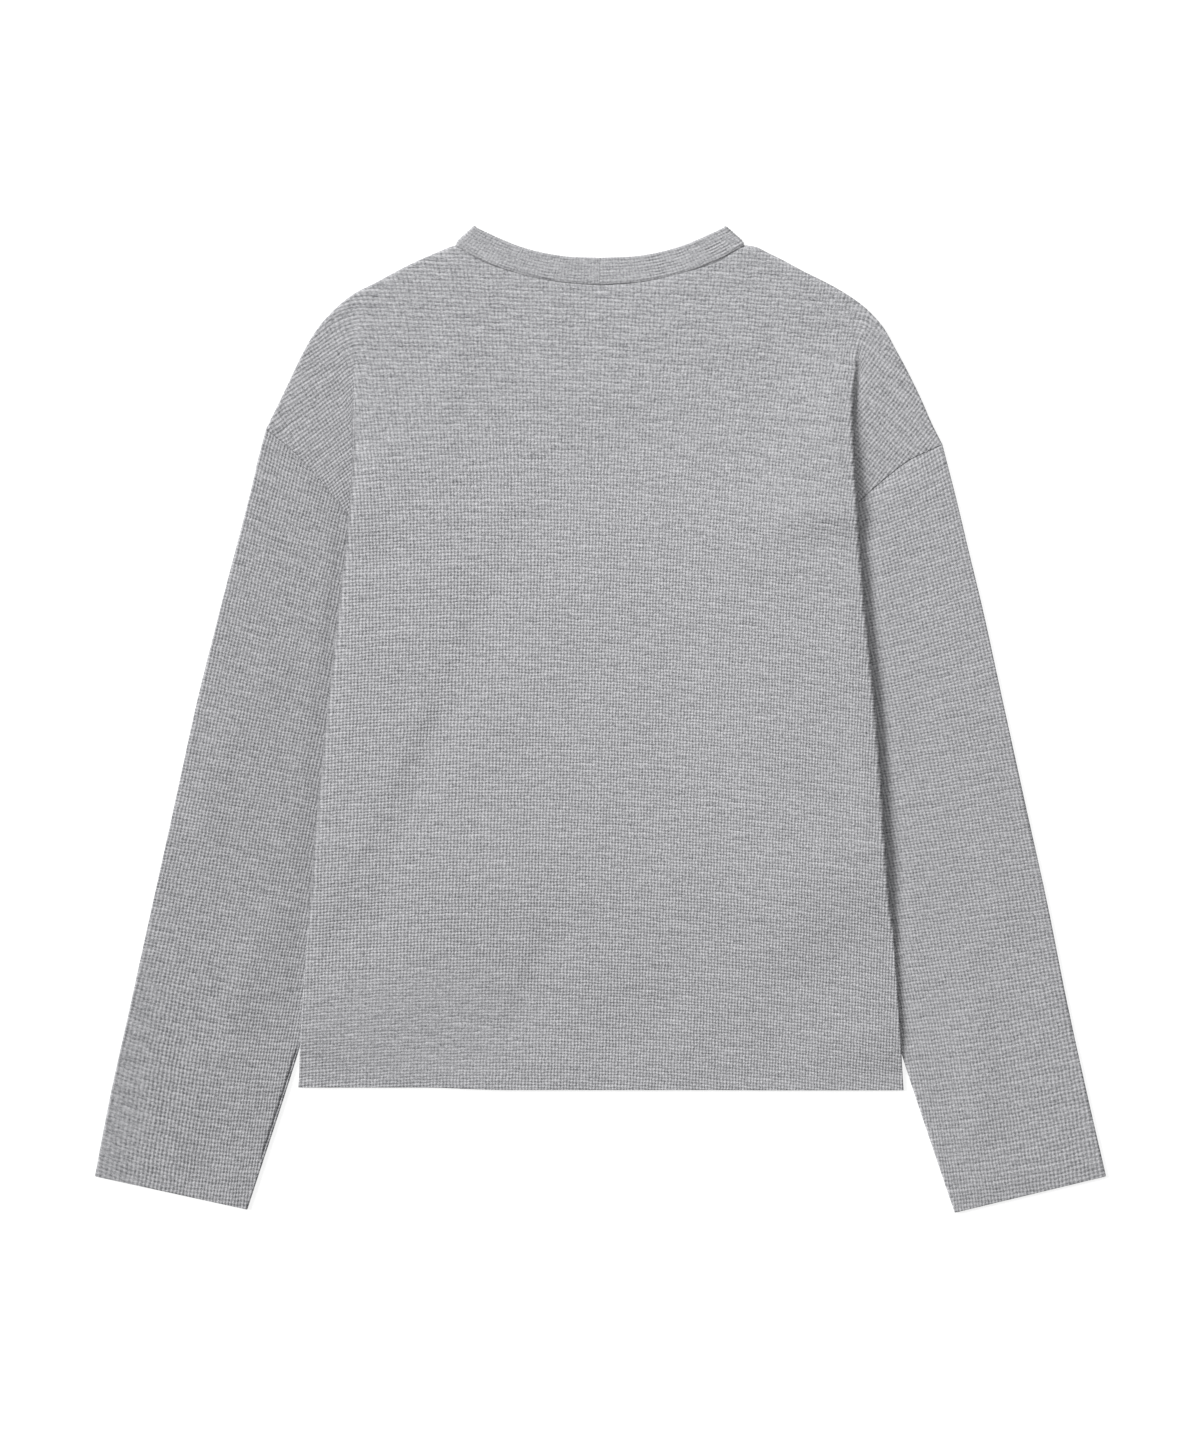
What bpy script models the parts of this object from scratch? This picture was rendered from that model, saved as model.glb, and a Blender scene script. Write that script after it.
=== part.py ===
"""Thermal top in a small waffle knit, laid flat with its back up and its sleeves tucked under.

It is made of the pieces that are cut and sewn: back panel, front panel, two sleeves and a neckband.
Each panel is one wall of cloth. The back and the front lie on each other as one sandwich, and from
the shoulders down the sandwich folds in a Z at each side: it turns under at the body's edge, runs
inwards, and turns out again into the drop shoulder, which meets the sleeve at the armhole seam.
Below the underarm the turned strip narrows along the side seam and ends at the corner of the hem.

Sizes are in millimetres. x runs outwards from the centre line, y towards the neck, z up.
"""

import bpy
import numpy as np

MM = 0.001

# The cloth and how its layers lie.
CLOTH = 1.4  # wall of one layer of knit
SPACE = 0.6  # air between two layers
SEAM_GAP = 0.3  # between two pieces that are sewn together
CURVED_SEAM_GAP = 0.4  # the same where the seam curves, at the neck
SLEEVE_GAP = 0.5  # measured along the sleeve, across the slanting armhole seam
BAND_CLOTH = 2.0  # wall of the neckband, which is the knit folded double and pressed
BAND_CORNER_GAP = 2.2  # the band stands this far off the panels where it folds at the neck points
MID = CLOTH + SPACE / 2  # height of the middle of the sandwich when it lies on the floor
TURN = 2.0  # radius of the sandwich's middle where it folds
TURN_EASE = 1.5  # cloth in a fold where it has opened out flat
LEAST_STRIP = 2.2  # shortest stretch between the two folds
SLEEVE_RISE = 2 * (CLOTH + SPACE)  # what the flat sleeve adds under the body

# Places. Left and right are the sides of the drawing, seen from above.
SIDES = {"left": -1, "right": 1}
HEM_HEIGHT = {"left": -264.4, "middle": -266.2, "right": -266.4}
FOLD_TOP = {"left": 266.0, "right": 273.0}  # height at which the side fold begins
UNDERARM = {"left": (134.0, 84.0), "right": (126.0, 84.0)}
CUFF_INNER = {"left": (253.8, -352.4), "right": (255.2, -354.6)}
HEM_TURN = 28.0  # the turned strip comes down to the floor over this height above the hem
SLOPE_WIDTH = 48.0  # the body comes down from the sleeve to the floor over this width
SLOPE_INSET = 8.0  # and starts this far inside of what lies under it
SEAM_STEP = 12.0  # from the underarm to the first row of the drop shoulder
FIRST_SEAM_SHARE = 0.1  # share of the armhole seam at that row
LAST_SEAM_SHARE = 0.85  # share of the armhole seam below the top of the fold
NECK_RISE = 0.6  # the back lies this much higher over the front half of the neckband
NECK_ZONE = {"x": 105.0, "y": 232.0, "fade": 20.0}

# Outer edge from the neck point over the shoulder and down the sleeve to the cuff.
OUTLINE = {
    "y": (341.6, 340.6, 336.8, 331, 323.6, 315, 306.4, 297, 284, 266, 248, 230, 212, 194,
          158, 122, 86, 14, -58, -130, -202, -274, -328.3),
    "left": (102.8, 107, 116.5, 130, 145.1, 160.9, 177.5, 189.4, 201.6, 212.8, 221.6, 230.2, 239, 244.4,
             253.1, 262.4, 271.8, 289.8, 305.6, 321.5, 337.3, 353.2, 363.5),
    "right": (103.4, 112, 119.6, 131.5, 145.1, 162.4, 177.5, 190.4, 202.8, 213.2, 222.8, 231.5, 239.4, 247.3,
              256.7, 265.3, 274, 289.8, 305.6, 321.5, 335.9, 351.7, 364.2),
}
# Folded side edge of the body, down to the corner of the hem.
BODY_EDGE = {
    "y": (280, 258, 230, 172, 129, 86, 0, -87, -173, -234, -267),
    "left": (176, 176, 176.2, 178.6, 182.2, 187.2, 196.6, 205.2, 211.7, 215.6, 217.2),
    "right": (187, 185, 182, 183.2, 186.1, 189.7, 198.4, 204.8, 211.3, 215.9, 218.5),
}
# Armhole seam between the shoulder's outer edge and the underarm.
ARMHOLE = {
    "left": ((240.3, 209.5), (217.5, 190.4), (192.7, 162.1), (134.0, 84.0)),
    "right": ((246.5, 198.0), (225.6, 188.6), (200.5, 169.6), (126.0, 84.0)),
}
# Inner edge of the sleeve, halfway between the underarm and the cuff.
SLEEVE_BEND = {"left": (215.6, -234.4), "right": (218.5, -245.2)}
# Neckline: the seam on the panel and the band's free edge, from the centre to the neck point.
NECK = {
    "back": {
        "seam_x": (0, 32, 64, 88, 102.6),
        "seam_y": (313.2, 315.9, 323.2, 332.2, 341.6),
        "free_x": (0, 28, 56, 76, 88.8),
        "free_y": (332.3, 333.8, 340.0, 348.0, 354.0),
    },
    "front": {
        "seam_x": (0, 34, 64, 86, 98, 102.6),
        "seam_y": (238.0, 242.0, 256.0, 283.0, 315.0, 341.6),
        "free_x": (0, 30, 54, 70.5, 80, 88.8),
        "free_y": (257.0, 260.7, 272.2, 294.0, 320.0, 354.0),
    },
}

# Rows and columns of the panels.
NECK_COLUMNS = (0, 0.12, 0.24, 0.36, 0.46, 0.54, 0.58, 0.606)
OUTER_COLUMNS = (0.68, 0.75, 0.82, 0.9, 1)
TURN_STEPS = 5
DROP_COLUMNS = (0.25, 0.5, 0.75, 1)
HEM_ROWS = (0, 7, 14, 21, 28, 60, 110, 170, 230, 290)  # above the hem
FOLD_ROWS = (0.83, 0.665, 0.5, 0.346, 0.192, 0.143, 0.093, 0.044, 0)  # shares of the fold, from its top
TOP_ROWS = (1 / 3, 2 / 3)
TOP_SEAM_SHARES = (0.9, 0.95, 0.988, 0.997, 1.0)  # of the armhole seam, where the rows above the fold end
EDGE_INSETS = (1.6, 0.5, 0.0)  # rows that round a closed edge
EDGE_OUTER = (MID, 1.3, 0.75)  # distance of the outer face from the sandwich's middle there
EDGE_INNER = (0.25, SEAM_GAP / 2, SEAM_GAP / 2)
EDGE_ROUND = 0.6  # how far a rounded edge goes past the end of the sandwich's middle
BAND_PROFILE = (0.8, 1, 1, 0.85, 0.4)  # share of the band's thickness from its seam to its free edge
BAND_INSETS = (1.4, 0.4, 0)  # of the last of them from the free edge
SHARP_ANGLE = 50  # degrees, above which an edge is shaded sharp
FOLD_ON_SHOULDER = (0.42, 0.5)  # shares of the shoulder edge between which the fold points
SLEEVE_ROWS = (0, 0.05, 0.15, 0.3, 0.45, 0.6, 0.75, 0.9, 0.975, 1)
CENTRE_DROP = 41.0  # rows lie this much lower at the centre, to pass under the front neckline
ROW_BEND = (0.3, 0.606)  # between these columns they come up again

COLOURS = {
    "body": (0.41, 0.415, 0.425, 1),
    "sleeve": (0.38, 0.385, 0.4, 1),
    "band": (0.43, 0.435, 0.445, 1),
}


def through(at, knots, values):
    """Cubic curve through the knots; the slope at each knot is the mean of its neighbours'."""
    knots = np.asarray(knots, float)
    values = np.asarray(values, float)
    if knots[0] > knots[-1]:
        knots, values = knots[::-1], values[::-1]
    slopes = np.gradient(values, knots)
    at = np.clip(at, knots[0], knots[-1])
    left = np.clip(np.searchsorted(knots, at) - 1, 0, len(knots) - 2)
    span = knots[left + 1] - knots[left]
    t = (at - knots[left]) / span
    start = (2 * t**3 - 3 * t**2 + 1) * values[left] + (t**3 - 2 * t**2 + t) * span * slopes[left]
    end = (3 * t**2 - 2 * t**3) * values[left + 1] + (t**3 - t**2) * span * slopes[left + 1]
    return start + end


def along(points, shares):
    """Points at these shares of the length of a smooth curve through the given points."""
    points = np.asarray(points, float)
    steps = np.linalg.norm(np.diff(points, axis=0), axis=1)
    knots = np.concatenate([[0], np.cumsum(steps)]) / steps.sum()
    shares = np.asarray(shares, float)
    return np.stack([through(shares, knots, points[:, i]) for i in range(2)], axis=-1)


def smooth(t):
    """0 below t = 0, 1 above t = 1, and an S between them."""
    t = np.clip(t, 0, 1)
    return t * t * (3 - 2 * t)


def unit(vectors):
    length = np.linalg.norm(vectors, axis=-1, keepdims=True)
    return vectors / np.where(length > 0, length, 1)


def edge_x(side, y):
    return through(y, BODY_EDGE["y"], BODY_EDGE[side])


def outline_points(side, above):
    """The outline above the shoulder's tip, from the neck, or below it, down to the cuff."""
    tip = ARMHOLE[side][0]
    rows = np.column_stack([OUTLINE[side], OUTLINE["y"]])
    apart = rows[:, 1] - tip[1]
    if above:
        return np.vstack([rows[apart > 8], tip])
    return np.vstack([tip, rows[apart < -8]])


def inner_fold_x(side, y):
    """Line of the second fold, straight from the top of the side fold to the underarm."""
    top = FOLD_TOP[side]
    arm_x, arm_y = UNDERARM[side]
    share = (top - y) / (top - arm_y)
    return edge_x(side, top) + share * (arm_x - edge_x(side, top))


def side_seam_x(side, y):
    """Line of the side seam on the turned strip, from the underarm to the hem's corner."""
    arm_x, arm_y = UNDERARM[side]
    hem = HEM_HEIGHT[side]
    start = arm_x + MID + TURN
    share = (arm_y - y) / (arm_y - hem)
    return start + share * (edge_x(side, hem) - start)


def reach(radius, angle, strip):
    """How far the sandwich's outer face goes past the start of a fold of this angle."""
    round_part = (radius + MID) * np.sin(min(angle, np.pi / 2))
    straight_part = (radius + EDGE_ROUND) * np.sin(angle) + strip * np.cos(angle)
    return max(round_part, straight_part)


def side_fold(side, y):
    """(start x, radius, angle, strip, lift) of the side fold at height y."""
    edge = edge_x(side, y)
    if y > UNDERARM[side][1]:
        width = edge - inner_fold_x(side, y)
        angle = np.pi * np.clip(width / (2 * (TURN + MID) + LEAST_STRIP), 0, 1)
        strip = max(LEAST_STRIP, width - 2 * (TURN + MID))
        drops, rise = 2, 0
    else:
        share = np.clip((y - HEM_HEIGHT[side]) / HEM_TURN, 0, 1)
        angle = np.pi * share
        strip = max(LEAST_STRIP, edge - TURN - MID - side_seam_x(side, y))
        drops, rise = 1, SLEEVE_RISE * smooth(share)
    angle = max(angle, 1e-3)
    radius = TURN + TURN_EASE * (1 - angle / np.pi) / angle
    start = edge - reach(radius, angle, strip)
    lift = drops * radius * (1 - np.cos(angle)) + strip * np.sin(angle) + rise
    return start, radius, angle, strip, lift


def lift_at(side, x, y):
    """Height of the body's sandwich above the floor, from what lies under it."""
    if y > FOLD_TOP[side]:
        return 0.0
    start, _, _, _, lift = side_fold(side, y)
    if y > UNDERARM[side][1]:
        support = inner_fold_x(side, y)
    else:
        support = side_seam_x(side, y)
    support = min(support - SLOPE_INSET, start - 2)
    return lift * smooth((x - support + SLOPE_WIDTH) / SLOPE_WIDTH)


def body_row(side, y, centre_y):
    """Points of one row from the centre line to the start of the fold."""
    start = side_fold(side, y)[0]
    shares = np.array(NECK_COLUMNS + OUTER_COLUMNS)
    bend = smooth((shares - ROW_BEND[0]) / (ROW_BEND[1] - ROW_BEND[0]))
    xs = shares * start
    ys = centre_y + bend * (y - centre_y)
    lifts = [lift_at(side, px, py) for px, py in zip(xs, ys)]
    return np.column_stack([xs, ys, MID + np.array(lifts)])


def fold_row(side, y, turn_out):
    """Points of one row through the fold, its strip and, where it turns out, the second fold."""
    start, radius, angle, strip, lift = side_fold(side, y)
    steps = np.linspace(0, angle, TURN_STEPS + 1)[1:]
    arc = np.column_stack([radius * np.sin(steps), radius * (np.cos(steps) - 1)])
    heading = np.array([np.cos(angle), -np.sin(angle)])
    shares = strip - np.array(EDGE_INSETS)
    straight = arc[-1] + shares[:, None] * heading
    parts = [arc, straight]
    if turn_out:
        back = angle - steps
        turn = np.column_stack(
            [np.sin(angle) - np.sin(back), -(np.cos(back) - np.cos(angle))]
        )
        parts.append(straight[-1] + radius * turn)
    points = np.vstack(parts)
    return np.column_stack([start + points[:, 0], np.full(len(points), y), MID + lift + points[:, 1]])


def panel_side(side, neck):
    """Middle of the sandwich on one side: rows from the hem up, columns from the centre out."""
    arm_y = UNDERARM[side][1]
    top = FOLD_TOP[side]
    hem = HEM_HEIGHT[side]
    middle_hem = HEM_HEIGHT["middle"]
    heights = [hem + row for row in HEM_ROWS] + [arm_y]
    centres = [middle_hem + row for row in HEM_ROWS] + [arm_y]
    turned = [arm_y + SEAM_STEP] + [top - row * (top - arm_y) for row in FOLD_ROWS]
    mean_top = sum(FOLD_TOP.values()) / 2
    scale = (mean_top - CENTRE_DROP - arm_y) / (top - arm_y)
    width = len(NECK_COLUMNS + OUTER_COLUMNS) + 2 * TURN_STEPS + len(EDGE_INSETS + DROP_COLUMNS)
    rows = []
    for y, centre_y in zip(heights, centres):
        row = np.vstack([body_row(side, y, centre_y), fold_row(side, y, False)])
        empty = np.full((width - len(row), 3), np.nan)
        rows.append(np.vstack([row, empty]))
    shares = armhole_shares()
    for y, share in zip(turned, shares):
        centre_y = arm_y + (y - arm_y) * scale
        row = np.vstack([body_row(side, y, centre_y), fold_row(side, y, True)])
        end = np.append(along(ARMHOLE[side][::-1], [share])[0], MID)
        drop = row[-1] + np.array(DROP_COLUMNS)[:, None] * (end - row[-1])
        rows.append(np.vstack([row, drop]))
    base = rows[-1]
    edge = top_edge(side, neck)
    length = np.linalg.norm(edge - base[:, :2], axis=1)
    steps = [np.full(len(base), share) for share in TOP_ROWS]
    steps += [1 - inset / length for inset in EDGE_INSETS]
    for number, step in enumerate(steps):
        row = base.copy()
        row[:, :2] += step[:, None] * (edge - base[:, :2])
        row[-1, :2] = along(ARMHOLE[side][::-1], [shares[len(turned) + number]])[0]
        rows.append(row)
    return np.array(rows)


def armhole_shares():
    """Shares of the armhole seam, from the underarm up, at which the panels' rows end."""
    lower = np.linspace(FIRST_SEAM_SHARE, LAST_SEAM_SHARE, len(FOLD_ROWS) + 1)
    return np.concatenate([lower, TOP_SEAM_SHARES])


def top_edge(side, neck):
    """Where each column ends: the neck seam first, then along the shoulder's edge to its tip."""
    shares = np.array(NECK_COLUMNS) / NECK_COLUMNS[-1]
    seam_x = shares * NECK[neck]["seam_x"][-1]
    seam_y = through(seam_x, NECK[neck]["seam_x"], NECK[neck]["seam_y"])
    first, last = FOLD_ON_SHOULDER
    outer = (np.array(OUTER_COLUMNS) - NECK_COLUMNS[-1]) / (1 - NECK_COLUMNS[-1])
    fold_steps = 2 * TURN_STEPS + len(EDGE_INSETS)
    fold = np.linspace(first, last, fold_steps + 1)[1:]
    drop = last + np.array(DROP_COLUMNS) * (1 - last)
    shoulder = along(outline_points(side, True), np.concatenate([outer * first, fold, drop]))
    return np.vstack([np.column_stack([seam_x, seam_y]), shoulder])


def mean_direction(points, axis, closed=False):
    """Unit direction of a grid along one axis, the mean of the steps before and after a point."""
    step = unit(np.diff(points, axis=axis))
    if closed:
        last = unit(np.take(points, [0], axis) - np.take(points, [-1], axis))
        after = np.concatenate([step, last], axis)
        before = np.roll(after, 1, axis)
        return unit(after + before)
    gap = np.full(np.take(points, [0], axis).shape, np.nan)
    after = np.nan_to_num(np.concatenate([step, gap], axis))
    before = np.nan_to_num(np.concatenate([gap, step], axis))
    return unit(after + before)


def cells_of(present, closed_columns=False):
    """Corner numbers of the two triangles of each cell of a grid whose four points are present."""
    rows, columns = present.shape
    number = np.arange(rows * columns).reshape(rows, columns)
    if closed_columns:
        number = np.column_stack([number, number[:, 0]])
        present = np.column_stack([present, present[:, 0]])
    keep = present[:-1, :-1] & present[:-1, 1:] & present[1:, 1:] & present[1:, :-1]
    corners = [number[:-1, :-1], number[:-1, 1:], number[1:, 1:], number[1:, :-1]]
    a, b, c, d = [corner[keep] for corner in corners]
    return np.concatenate([np.stack([a, b, c], axis=-1), np.stack([a, c, d], axis=-1)])


def wall(outer, inner, cells):
    """Points and faces of a wall between two faces of one grid, closed along its free edges."""
    count = len(outer)
    points = np.vstack([outer, inner])
    edges = np.concatenate([cells[:, [i, (i + 1) % 3]] for i in range(3)])
    known = set(map(tuple, edges.tolist()))
    rim = np.array([edge for edge in edges.tolist() if (edge[1], edge[0]) not in known])
    first, second = rim.T
    sides = np.vstack([
        np.column_stack([second, first, first + count]),
        np.column_stack([second, first + count, second + count]),
    ])
    faces = np.vstack([cells, cells[:, ::-1] + count, sides])
    used, faces = np.unique(faces, return_inverse=True)
    return points[used], faces.reshape(-1, 3)


def neck_rise(points):
    """How much higher the back lies over the neckband's front half."""
    across = smooth((NECK_ZONE["x"] - np.abs(points[..., 0])) / NECK_ZONE["fade"] + 1)
    upward = smooth((points[..., 1] - NECK_ZONE["y"]) / NECK_ZONE["fade"] + 1)
    return NECK_RISE * across * upward


def panel(neck):
    """Wall of the back or the front: the sandwich's middle moved up or down by the layers."""
    halves = {side: panel_side(side, neck) for side in SIDES}
    left = halves["left"][:, :0:-1] * (-1, 1, 1)
    middle = np.concatenate([left, halves["right"]], axis=1)
    present = ~np.isnan(middle[..., 0])
    normal = unit(np.cross(mean_direction(middle, 1), mean_direction(middle, 0)))
    middle = np.nan_to_num(middle)
    outer = np.full(present.shape, MID)
    inner = np.full(present.shape, SPACE / 2)
    columns = np.abs(np.arange(present.shape[1]) - (present.shape[1] - 1) // 2)
    shoulder = columns >= len(NECK_COLUMNS) - 1
    seam = len(NECK_COLUMNS + OUTER_COLUMNS) + TURN_STEPS - 1
    side_rows = slice(0, len(HEM_ROWS) + 1)
    rise = neck_rise(middle)
    for step, (out, into) in enumerate(zip(EDGE_OUTER, EDGE_INNER)):
        top_row = step - len(EDGE_INSETS)
        outer[top_row, shoulder] = out
        inner[top_row, shoulder] = into
        rise[top_row, shoulder] *= 1 - step / 2
        at_seam = columns == seam + step + 1
        outer[side_rows, at_seam] = out
        inner[side_rows, at_seam] = into
    cells = cells_of(present)
    if neck == "back":
        outer, inner = outer + rise, inner + rise
    else:
        outer, inner = -outer, -inner
        cells = cells[:, ::-1]
    faces_out = (middle + normal * outer[..., None]).reshape(-1, 3)
    faces_in = (middle + normal * inner[..., None]).reshape(-1, 3)
    return wall(faces_out, faces_in, cells)


def perpendicular(points):
    """Unit direction square to a curve in the plan, pointing to the left of its travel."""
    heading = mean_direction(points, 0)
    return np.column_stack([-heading[:, 1], heading[:, 0]])


def sleeve(side):
    """Flattened tube from the armhole seam to the cuff, with round edges."""
    outer_edge = along(outline_points(side, False), SLEEVE_ROWS)
    inner_edge = along([UNDERARM[side], SLEEVE_BEND[side], CUFF_INNER[side]], SLEEVE_ROWS)
    outward = perpendicular(outer_edge)
    inward = -perpendicular(inner_edge)
    outer_base = outer_edge - outward * MID
    inner_base = inner_edge - inward * MID
    seam = ARMHOLE[side][::-1]
    corner = MID / np.linalg.norm(np.subtract(seam[-1], seam[0]))
    inner_base[0], outer_base[0] = along(seam, [corner, 1 - corner])
    shares = armhole_shares()[:-3]
    flat = np.array([inner_base[row] + shares[:, None] * (outer_base[row] - inner_base[row])
                     for row in range(len(SLEEVE_ROWS))])
    flat[0] = along(seam, shares)
    radius = (CLOTH + SPACE) / 2
    angles = np.linspace(0, np.pi, TURN_STEPS + 1)
    rows = []
    for row in range(len(SLEEVE_ROWS)):
        upper = np.column_stack([flat[row], np.full(len(shares), MID + radius)])
        lower = upper[::-1] * (1, 1, 0) + (0, 0, MID - radius)
        round_out = turn_points(outer_base[row], outward[row], radius, angles)
        round_in = turn_points(inner_base[row], inward[row], radius, angles[::-1])
        rows.append(np.vstack([upper, round_out, lower, round_in]))
    middle = np.array(rows)
    away = unit(inner_edge[1] - inner_edge[0] + outer_edge[1] - outer_edge[0])
    middle[0, :, :2] += SLEEVE_GAP * away
    middle[..., 0] *= SIDES[side]
    normal = unit(np.cross(mean_direction(middle, 1, True), mean_direction(middle, 0)))
    cells = cells_of(np.ones(middle.shape[:2], bool), closed_columns=True)
    if normal[len(rows) // 2, 0, 2] < 0:
        normal = -normal
        cells = cells[:, ::-1]
    half = CLOTH / 2
    return wall(
        (middle + half * normal).reshape(-1, 3), (middle - half * normal).reshape(-1, 3), cells
    )


def turn_points(base, direction, radius, angles):
    """Half turn in the vertical plane of a direction, from the upper layer to the lower one."""
    plan = base + radius * np.sin(angles)[:, None] * direction
    return np.column_stack([plan, MID + radius * np.cos(angles)])


def neckband():
    """Ring of doubled knit: its back half lies on its front half, joined at the two neck points."""
    height = BAND_CLOTH / 2
    upper = BAND_CLOTH + SPACE + height
    back, front = band_half("back", upper), band_half("front", height)
    radius = (upper - height) / 2
    angles = np.linspace(0, np.pi, TURN_STEPS + 1)[1:-1]
    fold = back[-1] - back[-1, -1]
    outward = unit(np.cross(fold[:1], (0, 0, 1.0)))
    outward = outward * np.sign(outward[0, 0])
    turn = np.array([back[-1] + radius * np.sin(a) * outward + (0, 0, radius * (np.cos(a) - 1))
                     for a in angles])
    right = np.concatenate([back, turn, front[::-1]])
    left = right[::-1][1:-1] * (-1, 1, 1)
    middle = np.concatenate([right, left])
    normal = unit(np.cross(mean_direction(middle, 0, True), mean_direction(middle, 1)))
    half = np.array(BAND_PROFILE) * height
    cells = cells_of(np.ones(middle.T.shape[1:], bool), closed_columns=True)
    points = middle.transpose(1, 0, 2)
    normal = normal.transpose(1, 0, 2)
    if normal[2, 0, 2] < 0:
        normal = -normal
        cells = cells[:, ::-1]
    outer = points + half[:, None, None] * normal
    inner = points - half[:, None, None] * normal
    return wall(outer.reshape(-1, 3), inner.reshape(-1, 3), cells)


def band_half(neck, height):
    """Rows across half of the band, from the centre to the neck point, each from seam to edge."""
    table = NECK[neck]
    seam_x = np.array(NECK_COLUMNS) / NECK_COLUMNS[-1] * table["seam_x"][-1]
    free = np.column_stack([through(seam_x, table["seam_x"], table[key])
                            for key in ("free_x", "free_y")])
    seam = np.column_stack([seam_x, through(seam_x, table["seam_x"], table["seam_y"])])
    across = unit(free - seam)
    gap = np.full(len(seam), CURVED_SEAM_GAP)
    gap[-1] = BAND_CORNER_GAP
    start = seam + gap[:, None] * across
    width = np.linalg.norm(free - start, axis=1)
    last = width[:, None] - np.array(BAND_INSETS)
    insets = np.column_stack([np.zeros(len(seam)), width / 2, last])
    plan = start[:, None] + insets[..., None] * across[:, None]
    return np.concatenate([plan, np.full(plan.shape[:2] + (1,), height)], axis=2)


def cloth_material(name, colour):
    """Matt knitted cotton."""
    material = bpy.data.materials.new(name)
    material.use_nodes = True
    shader = material.node_tree.nodes["Principled BSDF"]
    shader.inputs["Base Color"].default_value = colour
    shader.inputs["Roughness"].default_value = 0.9
    shader.inputs["Metallic"].default_value = 0.0
    return material


def make_object(name, points, faces, material, centre):
    """One sub-part of the top, as an object with its own mesh in metres."""
    mesh = bpy.data.meshes.new(name)
    mesh.from_pydata(((points - centre) * MM).tolist(), [], faces.tolist())
    mesh.materials.append(material)
    mesh.shade_smooth()
    mesh.set_sharp_from_angle(angle=np.radians(SHARP_ANGLE))
    thing = bpy.data.objects.new(name, mesh)
    bpy.context.scene.collection.objects.link(thing)
    return thing


def main():
    for thing in list(bpy.data.objects):
        bpy.data.objects.remove(thing, do_unlink=True)
    pieces = {
        "back_panel": (panel("back"), "body"),
        "front_panel": (panel("front"), "body"),
        "sleeve_left": (sleeve("left"), "sleeve"),
        "sleeve_right": (sleeve("right"), "sleeve"),
        "neckband": (neckband(), "band"),
    }
    every_point = np.vstack([points for (points, _), _ in pieces.values()])
    centre = (every_point.min(axis=0) + every_point.max(axis=0)) / 2 * (1, 1, 0)
    for name, ((points, faces), colour) in pieces.items():
        material = cloth_material(name + "_knit", COLOURS[colour])
        make_object(name, points, faces, material, centre)


main()
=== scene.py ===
"""Looks of the thermal top: a heather grey mini-waffle knit, laid flat with its back up.

The back and the front are one sandwich of cloth. Its middle is a surface over a grid of rows (from the
hem to the neck and shoulders) and columns (from the centre out, round the side fold, to the armhole
seam). Each panel is that surface moved along its own normal. Sizes are in millimetres in this file
and become metres when a mesh is made. x runs outwards from the centre, y to the neck, z up.
"""

import bpy
import numpy as np
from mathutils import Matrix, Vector


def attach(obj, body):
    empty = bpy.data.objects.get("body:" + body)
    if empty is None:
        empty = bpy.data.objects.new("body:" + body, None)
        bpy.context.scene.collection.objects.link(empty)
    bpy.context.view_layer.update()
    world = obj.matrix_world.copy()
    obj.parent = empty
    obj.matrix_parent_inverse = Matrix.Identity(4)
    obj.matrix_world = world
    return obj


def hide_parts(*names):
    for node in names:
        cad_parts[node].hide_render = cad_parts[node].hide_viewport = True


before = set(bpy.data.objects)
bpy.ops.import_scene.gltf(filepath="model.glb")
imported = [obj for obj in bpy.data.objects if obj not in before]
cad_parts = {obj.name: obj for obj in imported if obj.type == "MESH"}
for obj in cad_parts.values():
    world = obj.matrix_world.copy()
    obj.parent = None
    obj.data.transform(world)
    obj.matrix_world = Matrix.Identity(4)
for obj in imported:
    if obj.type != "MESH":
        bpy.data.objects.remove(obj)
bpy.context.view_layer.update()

MM = 0.001
SIDES = {"left": -1, "right": 1}

# Cloth and layers, as in the solids.
CLOTH = 1.4
SPACE = 0.6
MID = CLOTH + SPACE / 2
TURN = 2.0
SLEEVE_RISE = 2 * (CLOTH + SPACE)
BAND_CLOTH = 2.0
EDGE_ROUND = 0.6

# Places, as in the solids, but for the right fold's edge, which lies up to 1.2 further out.
HEM_HEIGHT = {"left": -264.4, "middle": -266.2, "right": -266.4}
FOLD_TOP = {"left": 266.0, "right": 273.0}
UNDERARM = {"left": (134.0, 84.0), "right": (126.0, 84.0)}
CUFF_INNER = {"left": (253.8, -352.4), "right": (255.2, -354.6)}
SLEEVE_BEND = {"left": (215.6, -234.4), "right": (218.5, -245.2)}
SEAM_STEP = 12.0
FIRST_SEAM_SHARE = 0.1
LAST_SEAM_SHARE = 0.85
NECK_SHARE = 0.606
FOLD_ON_SHOULDER = (0.42, 0.5)
CENTRE_DROP = 41.0
ROW_BEND = (0.3, 0.606)
OUTLINE = {
    "y": (341.6, 340.6, 336.8, 331, 323.6, 315, 306.4, 297, 284, 266, 248, 230, 212, 194,
          158, 122, 86, 14, -58, -130, -202, -274, -328.3),
    "left": (102.8, 107, 116.5, 130, 145.1, 160.9, 177.5, 189.4, 201.6, 212.8, 221.6, 230.2, 239,
             244.4, 253.1, 262.4, 271.8, 289.8, 305.6, 321.5, 337.3, 353.2, 363.5),
    "right": (103.4, 112, 119.6, 131.5, 145.1, 162.4, 177.5, 190.4, 202.8, 213.2, 222.8, 231.5,
              239.4, 247.3, 256.7, 265.3, 274, 289.8, 305.6, 321.5, 335.9, 351.7, 364.2),
}
BODY_EDGE = {
    "y": (280, 258, 230, 172, 129, 86, 0, -87, -173, -234, -267),
    "left": (176, 176, 176.2, 178.6, 182.2, 187.2, 196.6, 205.2, 211.7, 215.6, 217.2),
    "right": (187, 185, 183, 184.4, 187.2, 190.6, 199.2, 205.4, 212.3, 216.4, 218.5),
}
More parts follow.
